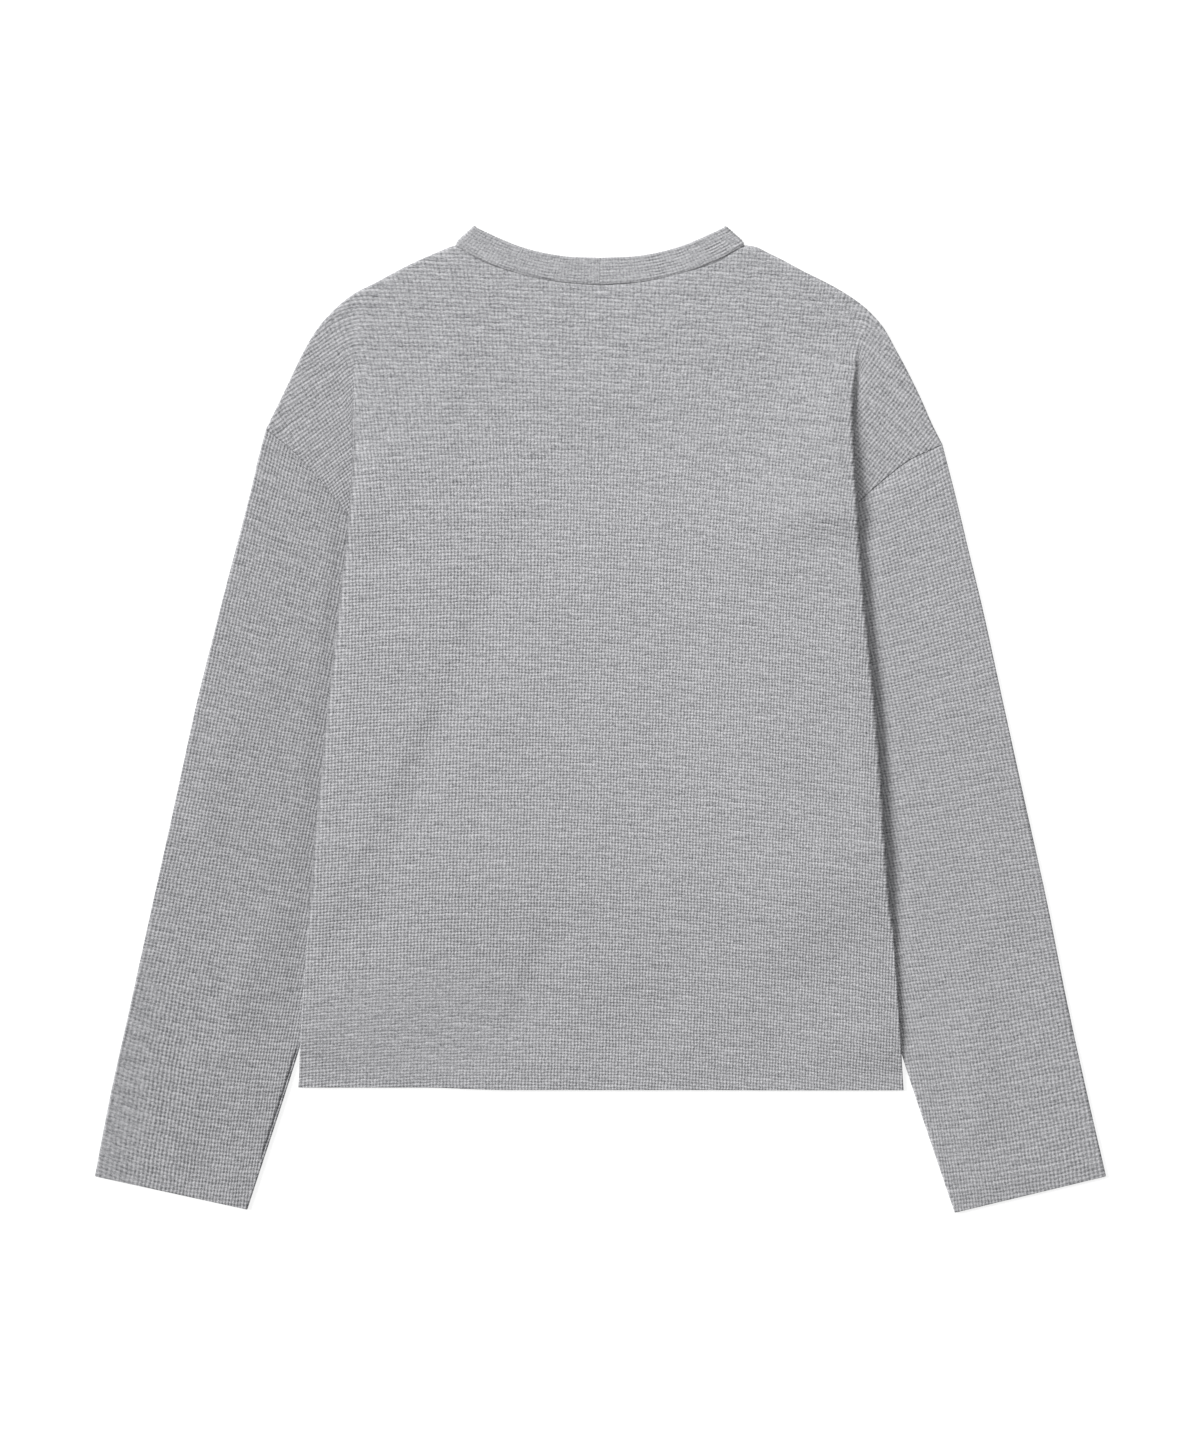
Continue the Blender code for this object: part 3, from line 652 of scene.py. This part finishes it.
def panel(neck, material):
    """The back or the front: the sandwich's middle moved up or down, rounded at its edges."""
    parts = {side: panel_side(side, neck) for side in SIDES}
    grains = {side: panel_grain(side, parts[side][0]) for side in SIDES}
    left = parts["left"][0][:, :0:-1] * (-1, 1, 1)
    middle = np.concatenate([left, parts["right"][0]], axis=1)
    closed, opened, sewn = (
        np.concatenate([parts["left"][i][:, :0:-1], parts["right"][i]], axis=1) for i in (1, 2, 3)
    )
    grain = np.concatenate([grains["left"][:, :0:-1], grains["right"]], axis=1)
    present = ~np.isnan(middle[..., 0])
    normal = unit(np.cross(mean_direction(middle, 1), mean_direction(middle, 0)))
    middle = np.nan_to_num(middle)
    x, y = np.abs(middle[..., 0]), middle[..., 1]
    zone = smooth((105 - x) / 20 + 1) * smooth((y - 232) / 20 + 1)
    cells = cells_of(present)
    if neck == "back":
        away = smooth(np.minimum(closed, sewn) / 4)
        half = smooth(middle[..., 0] / 60 + 0.5)
        soft = np.maximum(loft_of_back(middle) + span_of_back(middle, half), -0.1)
        loft = (0.6 * zone + fold_free(middle) * soft) * away + 0.5 * zone * (1 - away)
        loft = loft * smooth(closed / 2.5)
    else:
        loft = np.zeros(present.shape)
    outer = MID + loft - roll(closed, 1.55) - roll(opened, 0.75) - roll(sewn, 0.9)
    inner = SPACE / 2 + loft - 0.15 * (closed < 1.6) + 0.6 * roll(opened, 0.75)
    if neck == "front":
        outer, inner = -outer, -inner
        cells = cells[:, ::-1]
    # Painted shade in the grooves along the sewn edges at the neck and armhole seams, together with the
    # folds' painted shade and the drop shoulders' darkening.
    dark = np.maximum(0.28 * smooth(1 - sewn), fold_shade(middle, normal))
    name = neck + "_panel_cloth"
    return make_piece(name, middle, normal, outer, inner, cells, grain, dark, material)


def fold_shade(middle, normal):
    """Painted shade on a side fold's upright stretch where it turns down, growing as the surface tilts,
    and a darkening of the drop shoulders.
    """
    body, first, _, second, _ = column_counts()
    columns = np.abs(np.arange(middle.shape[1]) - (middle.shape[1] - 1) // 2)
    near = ((columns > body - 6) & (columns < first + 2)) * np.ones(middle.shape[:2])
    drawn = DROP_SHOULDER_DARKENING * smooth((columns - second) / 3) * np.ones(middle.shape[:2])
    below = smooth((FOLD_TOP["left"] - 6 - middle[..., 1]) / 40)
    return np.maximum(0.38 * near * below * smooth((1 - np.nan_to_num(normal[..., 2])) * 6), drawn)


def fold_free(middle):
    """1 on the body's upper stretch and the drop shoulders, 0 in the folds and hidden strips."""
    body = column_counts()[0]
    columns = np.abs(np.arange(middle.shape[1]) - (middle.shape[1] - 1) // 2)
    return smooth((body - 1 - columns) / 6) * np.ones(middle.shape[:2])


# ---------------------------------------------------------------- the sleeves


def perpendicular(points):
    """Unit direction square to a curve in the plan, pointing to the left of its travel."""
    heading = mean_direction(points, 0)
    return np.column_stack([-heading[:, 1], heading[:, 0]])


def sleeve(side, material):
    """Flattened tube from the armhole seam to the cuff: two layers joined by half rounds.

    Its ring is a stadium whose ends follow the sleeve's edges; the first ring lies along the
    armhole seam and dips under the drop shoulder's edge, which leaves the seam's groove.
    """
    length = 540.0
    half = graded(length / 2, 64, EDGE_STEPS)
    rows = np.concatenate([half, length - half[-2::-1]]) / length
    outer_edge = along(outline_points(side, False), rows)
    inner_edge = along([UNDERARM[side], SLEEVE_BEND[side], CUFF_INNER[side]], rows)
    outward = perpendicular(outer_edge)
    inward = -perpendicular(inner_edge)
    corner = MID / np.linalg.norm(np.subtract(ARMHOLE[side][-1], ARMHOLE[side][0]))
    ends = along(ARMHOLE[side], [corner, 1 - corner])
    near = smooth(1 - rows * length / 45)[:, None]
    inner_base = inner_edge - inward * MID
    inner_base = inner_base + near * (ends[0] - inner_base[0])
    outer_base = outer_edge - outward * MID
    outer_base = outer_base + near * (ends[1] - outer_base[0])
    across = np.concatenate([np.linspace(0, 0.036, 13), np.linspace(0.036, 0.98, 40)[1:], [0.99, 1]])
    flat = inner_base[:, None] + across[:, None] * (outer_base - inner_base)[:, None]
    bow = along(ARMHOLE[side], corner + across * (1 - 2 * corner)) - flat[0]
    away = unit(inner_edge[3] - inner_edge[0] + outer_edge[3] - outer_edge[0])
    tuck = 1.1 * (1 - np.clip(rows * length / 3.5, 0, 1))
    flat = flat + near[..., None] * bow - (tuck[:, None] * away)[:, None]
    radius = (CLOTH + SPACE) / 2
    angles = np.linspace(0, np.pi, 11)[1:-1]
    height = np.full(flat.shape[:2], MID + radius)
    upper = np.concatenate([flat, height[..., None]], axis=2)
    lower = upper[:, ::-1] * (1, 1, 0) + (0, 0, MID - radius)
    middle = np.concatenate([
        upper,
        half_round(flat[:, -1], outward, radius, angles),
        lower,
        half_round(flat[:, 0], inward, radius, angles[::-1]),
    ], axis=1)
    middle[..., 0] *= SIDES[side]
    normal = unit(np.cross(mean_direction(middle, 1, True), mean_direction(middle, 0)))
    cells = cells_of(np.ones(middle.shape[:2], bool), closed_columns=True)
    if normal[len(rows) // 2, 5, 2] < 0:
        normal = -normal
        cells = cells[:, ::-1]
    along_mm = (rows * length)[:, None]
    to_cuff = length - along_mm
    upper_side = np.zeros(middle.shape[:2])
    upper_side[:, : len(across)] = 1
    outside = sleeve_outside(side, middle)
    loft = upper_side * outside * sleeve_loft(side, middle, across, rows)
    lip = np.zeros(middle.shape[:2])
    if side == "left":
        inward_from = middle[:, : len(across), :2] * (SIDES[side], 1) - inner_edge[:, None]
        reach = np.linalg.norm(inward_from, axis=-1)
        lip[:, : len(across)] = np.interp(reach, LIP["reach"], LIP["drop"])
        lip *= outside * upper_side * smooth((0.93 - rows[:, None]) / 0.03)
    half = CLOTH / 2
    end_roll = roll(to_cuff, 0.7) + np.zeros(middle.shape[:2])
    sink = 0.75 * (1 - smooth(along_mm / 3.5)) * upper_side
    outer = half + loft - end_roll - lip - sink
    inner = -half + loft * 0.9 + 0.6 * roll(to_cuff, 0.7)
    grain = sleeve_grain(side, middle)
    # Painted shade in the armhole seam's groove and, on the left sleeve, along the gap at its lip.
    dark = 0.22 * smooth(1 - along_mm / 1.6) + 0.42 * smooth((lip - 1.1) / 0.6)
    name = "sleeve_" + side + "_cloth"
    return make_piece(name, middle, normal, outer, inner, cells, grain, dark, material)


# Left sleeve's inner edge: the front layer shows past the back layer as a narrow lip.
LIP = {
    "reach": (0.0, 1.0, 1.5, 1.8, 2.1, 2.5, 3.4),
    "drop": (0.7, 0.8, 0.9, 1.7, 1.7, 0.4, 0.0),
}


def half_round(base, direction, radius, angles):
    """Half turns in the vertical planes of the directions, from the upper layer to the lower one."""
    plan = base[:, None] + radius * np.sin(angles)[:, None] * direction[:, None]
    height = np.broadcast_to(MID + radius * np.cos(angles), plan.shape[:2])
    return np.concatenate([plan, height[..., None]], axis=2)


def sleeve_outside(side, middle):
    """0 where the sleeve lies under the body or the drop shoulder's fold, 1 well outside of it."""
    x, y = np.abs(middle[..., 0]), middle[..., 1]
    clear = x - edge_x(side, y)
    free = np.where(y < HEM_HEIGHT[side] + 25, 20.0, clear)
    return smooth((np.maximum(free, clear) - 1) / 14)


def sleeve_loft(side, middle, across, rows):
    """Softness of the upper layer: full in the middle, flat at its edges, with long soft creases."""
    t = np.zeros(middle.shape[:2])
    t[:, : len(across)] = across
    total = 0.9 * np.sin(np.pi * np.clip(t, 0, 1)) ** 0.8
    for place, begin, end, half, height in SLEEVE_CREASES[side]:
        fade = smooth((rows[:, None] - begin) / 0.06 + 0.5) * smooth((end - rows[:, None]) / 0.06 + 0.5)
        drift = place + 0.12 * np.sin(rows[:, None] * 9 + place * 5)
        total = total + height * np.exp(-(((t - drift) * 125 / half) ** 2)) * fade
    along_ease = smooth(rows / 0.03)[:, None] * smooth((1 - rows) / 0.03)[:, None]
    return total * along_ease


def sleeve_grain(side, middle):
    """Grain of the sleeve: wales lean with it and close up at the cuff; courses tilt and bow.

    across = open x (wide - gather x (wide - place)^2 / 2), where wide is x and a share of y that grows
    upwards, and gather sets in towards the cuff. up = the running total of a stretch along y, less
    tilt x off and bow x off^2, where off is the distance from the sleeve's axis; the tilt grows in
    two steps up the sleeve, and the bow sets in near the cuff.
    """
    x, y = middle[..., 0] * SIDES[side], middle[..., 1]
    finer, place = SLEEVE_GATHER[side]
    wide = x + 0.21 * y + 1e-4 * y**2
    gather = finer * (1 - ease(y, -170, 80))
    across = SLEEVE_OPEN[side] * (wide - gather * (wide - place) ** 2 / 2)
    off = x - 247 + 0.19 * y
    tilt = SLEEVE_TILT[side] + (0.34 - SLEEVE_TILT[side]) * ease(y, 20, 70) + 0.22 * ease(y, 178, 25)
    bow = SLEEVE_BOW[side] * (1 - ease(y, -190, 50))
    gain = SLEEVE_GAIN[side]
    up = 0.885 * y + 0.18 * ease_sum(y, -185, 32) + gain * ease_sum(y, -150, 30)
    up = up - (gain + 0.04) * ease_sum(y, 50, 50) - off * tilt - bow * off**2
    return np.stack([across * SIDES[side], up], axis=-1)


# ---------------------------------------------------------------- the neckband


def band_half(neck, height, places):
    """Rows across half of the band, from the centre to the neck point, each from seam to edge."""
    table = NECK[neck]
    seam_x = places * table["seam_x"][-1]
    free_x, free_y, seam_y = (
        through(seam_x, table["seam_x"], table[key]) for key in ("free_x", "free_y", "seam_y")
    )
    free = np.column_stack([free_x, free_y])
    seam = np.column_stack([seam_x, seam_y])
    across = unit(free - seam)
    tuck = -0.7 - 0.6 * smooth((places - 0.965) / 0.035)
    start = seam + tuck[:, None] * across
    runs = BAND_COLUMNS
    plan = start[:, None] + runs[:, None] * (free - start)[:, None]
    return np.concatenate([plan, np.full(plan.shape[:2] + (1,), height)], axis=2)


BAND_COLUMNS = np.concatenate([[0, 0.01, 0.025, 0.045], np.linspace(0.07, 0.93, 44),
                               [0.955, 0.975, 0.988, 0.996, 1]])


def neckband(material):
    """Ring of doubled knit with a rib along each course and a finely scalloped free edge."""
    height = BAND_CLOTH / 2
    upper = BAND_CLOTH + SPACE + height + 0.25
    back = band_half("back", upper, np.linspace(0, 1, 170))
    front = band_half("front", height, np.linspace(0, 1, 110))
    radius = (upper - height) / 2
    angles = np.linspace(0, np.pi, 11)[1:-1]
    fold = back[-1] - back[-1, -1]
    outward = unit(np.cross(fold[:1], (0, 0, 1.0)))
    outward = outward * np.sign(outward[0, 0])
    lift = radius * (np.cos(angles) - 1)
    pinch = 0.3 + 0.7 * smooth(BAND_COLUMNS * 4)
    turn = back[-1] + radius * np.sin(angles)[:, None, None] * pinch[:, None] * outward
    turn[..., 2] += lift[:, None]
    right = np.concatenate([back, turn, front[::-1]])
    left = right[::-1][1:-1] * (-1, 1, 1)
    middle = np.concatenate([right, left])
    normal = unit(np.cross(mean_direction(middle, 0, True), mean_direction(middle, 1)))
    steps = np.linalg.norm(np.diff(np.concatenate([middle, middle[:1]]), axis=0), axis=-1)
    run = np.concatenate([np.zeros((1, middle.shape[1])), np.cumsum(steps, axis=0)[:-1]])
    mid_run = run[:, middle.shape[1] // 2]
    wide = np.linalg.norm(middle[:, -1] - middle[:, 0], axis=-1)
    v = BAND_COLUMNS[None] * wide[:, None]
    to_free = wide[:, None] - v
    scallop = 0.22 * np.cos(2 * np.pi * mid_run / WALE)[:, None] * smooth(1 - to_free / 2.0)
    toward = unit(middle[:, -1:] - middle[:, :1])
    middle = middle + scallop[..., None] * toward
    rib = 0.16 * np.cos(2 * np.pi * to_free / BAND_COURSE) * smooth(to_free / 1.5) * smooth(v / 1.5)
    soft = 0.1 * np.sin(mid_run / 9)[:, None] + 0.08 * np.sin(mid_run / 23 + 1)[:, None]
    half = height - roll(to_free, height * 0.95)
    sunk = 0.9 * (1 - smooth(v / 2.2))
    outer = half + rib + soft * 0.5 - sunk * 0.8
    inner = -half
    rows, columns = middle.shape[:2]
    cells = cells_of(np.ones((columns, rows), bool), closed_columns=True)
    points = middle.transpose(1, 0, 2)
    normal = normal.transpose(1, 0, 2)
    if normal[columns // 2, 0, 2] < 0:
        normal = -normal
        cells = cells[:, ::-1]
    grain = np.stack([np.broadcast_to(mid_run[:, None], v.shape), to_free], axis=-1).transpose(1, 0, 2)
    places = np.abs(middle[:, :1, 0]) / NECK["back"]["seam_x"][-1]
    # Painted shade in the groove along the band's seam, fading out near the neck points.
    dark = 0.5 * smooth(1 - v / 1.2) * smooth((0.96 - places) / 0.08)
    name = "neckband_cloth"
    return make_piece(name, points, normal, outer.T, inner.T, cells, grain, dark.T, material)


# ---------------------------------------------------------------- materials


class Nodes:
    """Short hand for building a material's nodes."""

    def __init__(self, name):
        self.material = bpy.data.materials.new(name)
        self.material.use_nodes = True
        self.tree = self.material.node_tree
        self.shader = self.tree.nodes["Principled BSDF"]

    def finish(self, values):
        """Sets these sockets of the shader itself."""
        for name, value in values.items():
            self.shader.inputs[name].default_value = value

    def put(self, socket, value):
        if isinstance(value, bpy.types.NodeSocket):
            self.tree.links.new(value, socket)
        else:
            socket.default_value = value

    def add(self, kind, inputs=None, output=0, **settings):
        node = self.tree.nodes.new(kind)
        for key, value in settings.items():
            setattr(node, key, value)
        for key, value in (inputs or {}).items():
            self.put(node.inputs[key], value)
        return node.outputs[output]

    def math(self, operation, *values, clamp=False):
        inputs = dict(enumerate(values))
        return self.add("ShaderNodeMath", inputs, operation=operation, use_clamp=clamp)

    def times(self, value, factor, plus=0.0, clamp=False):
        """value x factor + plus."""
        return self.math("MULTIPLY_ADD", value, factor, plus, clamp=clamp)

    def vector(self, x, y, z=0.0):
        return self.add("ShaderNodeCombineXYZ", {0: x, 1: y, 2: z})

    def chance(self, x, y, seed):
        """Soft noise about one stitch across."""
        return self.noise(self.vector(x, y, seed), 1.15, 0.0)

    def streak(self, across, row, stretch, seed):
        """Noise that runs along one row and starts afresh on the next."""
        return self.speckle(across, row, stretch, 7.31, seed, 0.6)

    def speckle(self, across, up, finer_across, finer_up, seed, roughness):
        """Noise whose grain has its own fineness each way."""
        place = self.vector(self.times(across, finer_across), self.times(up, finer_up), seed)
        return self.noise(place, 1.0, 2.0, roughness)

    def noise(self, vector, scale, detail=2.0, roughness=0.5, output="Fac"):
        inputs = {"Vector": vector, "Scale": scale, "Detail": detail, "Roughness": roughness}
        return self.add("ShaderNodeTexNoise", inputs, output, noise_dimensions="3D")


def knit_material(
    name, shade, wale, course, contrast, wale_share, bump_strength, seed,
    top_share=1.0, wales=EVEN_WALES, patch=BODY_PATCH,
):
    """Heather waffle knit on the piece's grain map, with its light yarn darkened to a shade.

    pit = (1 - wale share x ridge)(1 - rib) and crossing = ridge x rib, where ridge and rib are half
    cosines across the wales and the courses. form = 0.5 crossing - 0.55 pit, and tone = a middle
    grey + contrast x form x depth + a share of the ridge + light streaks, each stitch's own chance,
    soft clouds and fibres. depth changes by chance and along dark streaks of the rows. form and the
    ridge's share paint the waffle's relief into the colour: painted shade in the pits and painted
    light on the ridges and crossings. The streaks, chance, clouds and fibres are the heather's own
    tone.

    Towards the top of the body form keeps only the top share, but for the drop shoulders, and the
    ridges' height goes from wales[0] to wales[1]. It is wales[2] of that inside the patch, an
    ellipse on the grain map: (x, half width, y, half height) in metres. The top share also darkens
    the body's middle grey towards the top, again but for the drop shoulders: painted shade.
    """
    n = Nodes(name)
    light = tuple(shade * part for part in LIGHT_YARN[:3]) + (1,)
    grain = n.add("ShaderNodeUVMap", uv_map="grain")
    split = n.add("ShaderNodeSeparateXYZ", {0: grain})
    height = split.node.outputs[1]
    # eased: towards the top of the body, less relief and a darker middle grey; the darker grey is
    # painted shade.
    eased = n.add("ShaderNodeMapRange", {0: height, 1: 0.09, 2: 0.20, 3: 1.0, 4: top_share})
    lean = n.times(split, -0.3, height)
    drawn = n.add("ShaderNodeMapRange", {0: lean, 1: 0.2, 2: 0.3, 3: 0.5 * wales[0], 4: 0.5 * wales[1]})
    x, wide, y, tall = patch
    side_x = n.math("POWER", n.times(split, 1 / wide, -x / wide), 2)
    side_y = n.math("POWER", n.times(height, 1 / tall, -y / tall), 2)
    beyond = n.math("ADD", side_x, side_y)
    outside = n.add("ShaderNodeMapRange", {0: beyond, 1: 0.2, 2: 1.5, 3: wales[2], 4: 1.0})
    wale_depth = n.times(drawn, outside)
    eased = n.times(eased, n.times(outside, 0.6, 0.4))
    # seam_shade holds the painted shade at seams, lips and folds and the drop shoulders' darkening;
    # that darkening's value also marks them to keep their relief.
    seam = n.add("ShaderNodeAttribute", None, "Fac", attribute_name="seam_shade")
    kept = n.times(n.times(seam, 1 / DROP_SHOULDER_DARKENING, clamp=True), 0.75)
    eased = n.times(n.math("SUBTRACT", 1.0, eased), kept, eased)
    evened = n.times(outside, -0.3, 0.3)
    across = n.times(split, 1000 / wale)
    up = n.times(height, 1000 / course)
    place = n.vector(across, up, seed)
    wobbles = n.add("ShaderNodeSeparateXYZ", {0: n.noise(place, 0.22, 2.0, 0.6, "Color")})
    across = n.times(wobbles, 0.8, across)
    up = n.times(wobbles.node.outputs[1], 0.9, up)
    row = n.math("FLOOR", up)
    wave = n.math("COSINE", n.times(across, 2 * np.pi))
    ridge = n.times(wave, wale_depth, 0.5)
    rib = n.times(n.math("COSINE", n.times(up, 2 * np.pi)), 0.5, 0.5)
    valley = n.math("SUBTRACT", 1.0, rib)
    pit = n.times(n.times(ridge, -wale_share, 1.0), valley)
    chance = n.chance(across, up, seed)
    own = n.chance(across, up, seed + 5)
    run = n.streak(across, row, 0.20, seed + 1)
    light_row = n.math("FLOOR", n.math("ADD", up, 0.5))
    light_run = n.streak(across, light_row, 0.12, seed + 2)
    row_below = n.streak(across, n.math("SUBTRACT", light_row, 1.0), 0.12, seed + 2)
    light_run = n.times(n.math("SUBTRACT", row_below, 0.5), -0.6, light_run)
    cloud = n.speckle(across, up, 0.03, 0.06, seed, 0.5)
    fibre = n.speckle(across, up, 2.4, 3.6, seed, 0.7)
    depth = n.times(chance, 1.4, n.times(run, -2.4, 1.3))
    tone = n.times(n.math("ADD", eased, evened), 0.3, 0.36 - 0.2 * contrast)
    for part, weight in ((light_run, 0.6), (own, 0.58), (cloud, 0.05), (fibre, 2.0)):
        tone = n.times(n.math("SUBTRACT", part, 0.5), weight, tone)
    hollow = n.times(pit, eased)
    crossing = n.times(n.times(ridge, rib), eased)
    # form: painted shade in the pits and painted light on the crossings, standing in for the waffle's
    # relief.
    form = n.math("SUBTRACT", n.times(crossing, 0.5), n.times(hollow, 0.55))
    tone = n.times(n.times(form, depth), contrast, tone)
    tone = n.times(ridge, 0.19, tone, clamp=True)
    colour = n.add("ShaderNodeMix", {0: tone, 6: DARK_YARN, 7: light}, 2, data_type="RGBA")
    # Painted shade: the seam_shade attribute darkens the colour towards SEAM_SHADE (the drop shoulders'
    # darkening comes the same way).
    shaded = n.add("ShaderNodeMix", {0: seam, 6: colour, 7: SEAM_SHADE}, 2, data_type="RGBA")
    n.put(n.shader.inputs["Base Color"], shaded)
    relief = n.times(rib, 0.07, n.times(fibre, 0.4))
    relief = n.times(form, 0.9, relief)
    bump = n.add("ShaderNodeBump", {"Strength": bump_strength, "Distance": 0.0006, "Height": relief})
    n.put(n.shader.inputs["Normal"], bump)
    n.finish({"Roughness": 0.92, "Specular IOR Level": 0.25})
    return n.material


def floor_material():
    """Pale, matt and slightly glowing, so that shadows on it stay faint."""
    n = Nodes("pale_floor")
    n.finish({"Base Color": (0.35, 0.35, 0.35, 1), "Roughness": 0.9, "Specular IOR Level": 0.0})
    n.finish({"Emission Color": (1, 1, 1, 1), "Emission Strength": 0.8})
    return n.material


# ---------------------------------------------------------------- stage, light and camera

CAMERA_HEIGHT = 2.88
KEY_FROM = (-2.5, 1.0, 2.0)
TOP_FROM = (0.15, 1.65, 1.3)
FILL_FROM = (1.9, 0.6, 1.25)


def make_stage():
    """A round pale floor just under the garment."""
    angles = np.linspace(0, 2 * np.pi, 65)[:-1]
    ring = np.column_stack([np.cos(angles), np.sin(angles), np.zeros(64)]) * 4.0
    ring[:, 2] = -0.0003
    mesh = bpy.data.meshes.new("floor")
    mesh.from_pydata(ring.tolist(), [], [list(range(64))])
    mesh.materials.append(floor_material())
    floor = bpy.data.objects.new("floor", mesh)
    bpy.context.scene.collection.objects.link(floor)


def hang_light(name, light, place):
    """Light object at the place, aimed at the origin."""
    holder = bpy.data.objects.new(name, light)
    holder.location = place
    holder.rotation_mode = "QUATERNION"
    holder.rotation_quaternion = Vector(place).to_track_quat("Z", "Y")
    bpy.context.scene.collection.objects.link(holder)


def disk_light(name, size, watts, place):
    light = bpy.data.lights.new(name, "AREA")
    light.shape = "DISK"
    light.size = size
    light.energy = watts
    hang_light(name, light, place)


def make_lights():
    """A soft sun from the upper left and an even pale sky."""
    key = bpy.data.lights.new("key", "SUN")
    key.energy = 3.7
    key.angle = np.radians(30)
    hang_light("key", key, KEY_FROM)
    disk_light("top", 1.4, 15.0, TOP_FROM)
    disk_light("fill", 1.3, 5.6, FILL_FROM)
    world = bpy.data.worlds.new("sky")
    world.use_nodes = True
    world.node_tree.nodes["Background"].inputs[0].default_value = (0.98, 0.99, 1, 1)
    world.node_tree.nodes["Background"].inputs[1].default_value = 0.13
    bpy.context.scene.world = world


def make_camera():
    """Straight above, far enough for little perspective."""
    data = bpy.data.cameras.new("camera")
    data.lens = 100
    data.sensor_width = 36
    camera = bpy.data.objects.new("camera", data)
    camera.location = (0, 0, CAMERA_HEIGHT)
    bpy.context.scene.collection.objects.link(camera)
    bpy.context.scene.camera = camera


def main():
    bpy.context.scene.view_settings.view_transform = "Standard"
    make_camera()
    make_lights()
    make_stage()
    body = knit_material(
        "body_knit", 0.975, WALE, COURSE, contrast=0.61, wale_share=0.8, bump_strength=0.9, seed=0.0,
        top_share=0.74, wales=(1, 0.52, 0.55),
    )
    left = knit_material(
        "left_sleeve_knit", 0.877, SLEEVE_WALE, SLEEVE_COURSE, contrast=0.76, wale_share=0.9,
        bump_strength=0.9, seed=11.0, wales=(1, 1, 0.55), patch=CUFF_PATCH,
    )
    right = knit_material(
        "right_sleeve_knit", 0.870, SLEEVE_WALE, SLEEVE_COURSE, contrast=0.58, wale_share=0.85,
        bump_strength=0.7, seed=23.0,
    )
    band = knit_material(
        "band_knit", 0.876, WALE, BAND_COURSE, contrast=0.42, wale_share=0.5, bump_strength=0.9,
        seed=37.0, wales=(0.6, 0.6, 1),
    )
    pieces = {
        "back_panel": (panel("back", body), "panel_knit", (0.50, 0.61), 0.27, ["front_panel_cloth"]),
        "front_panel": (panel("front", body), "panel_knit", (0.50, 0.61), 0.26, ["floor"]),
        "sleeve_left": (sleeve("left", left), "sleeve_knit", (0.29, 0.56), 0.145, ["floor"]),
        "sleeve_right": (sleeve("right", right), "sleeve_knit", (0.29, 0.56), 0.147, ["floor"]),
        "neckband": (neckband(band), "neckband_knit", (0.021, 0.55), 0.011, ["front_panel_cloth"]),
    }
    for node, (piece, slot, flat, area, rests) in pieces.items():
        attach(piece, "root")
        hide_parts(node)


main()
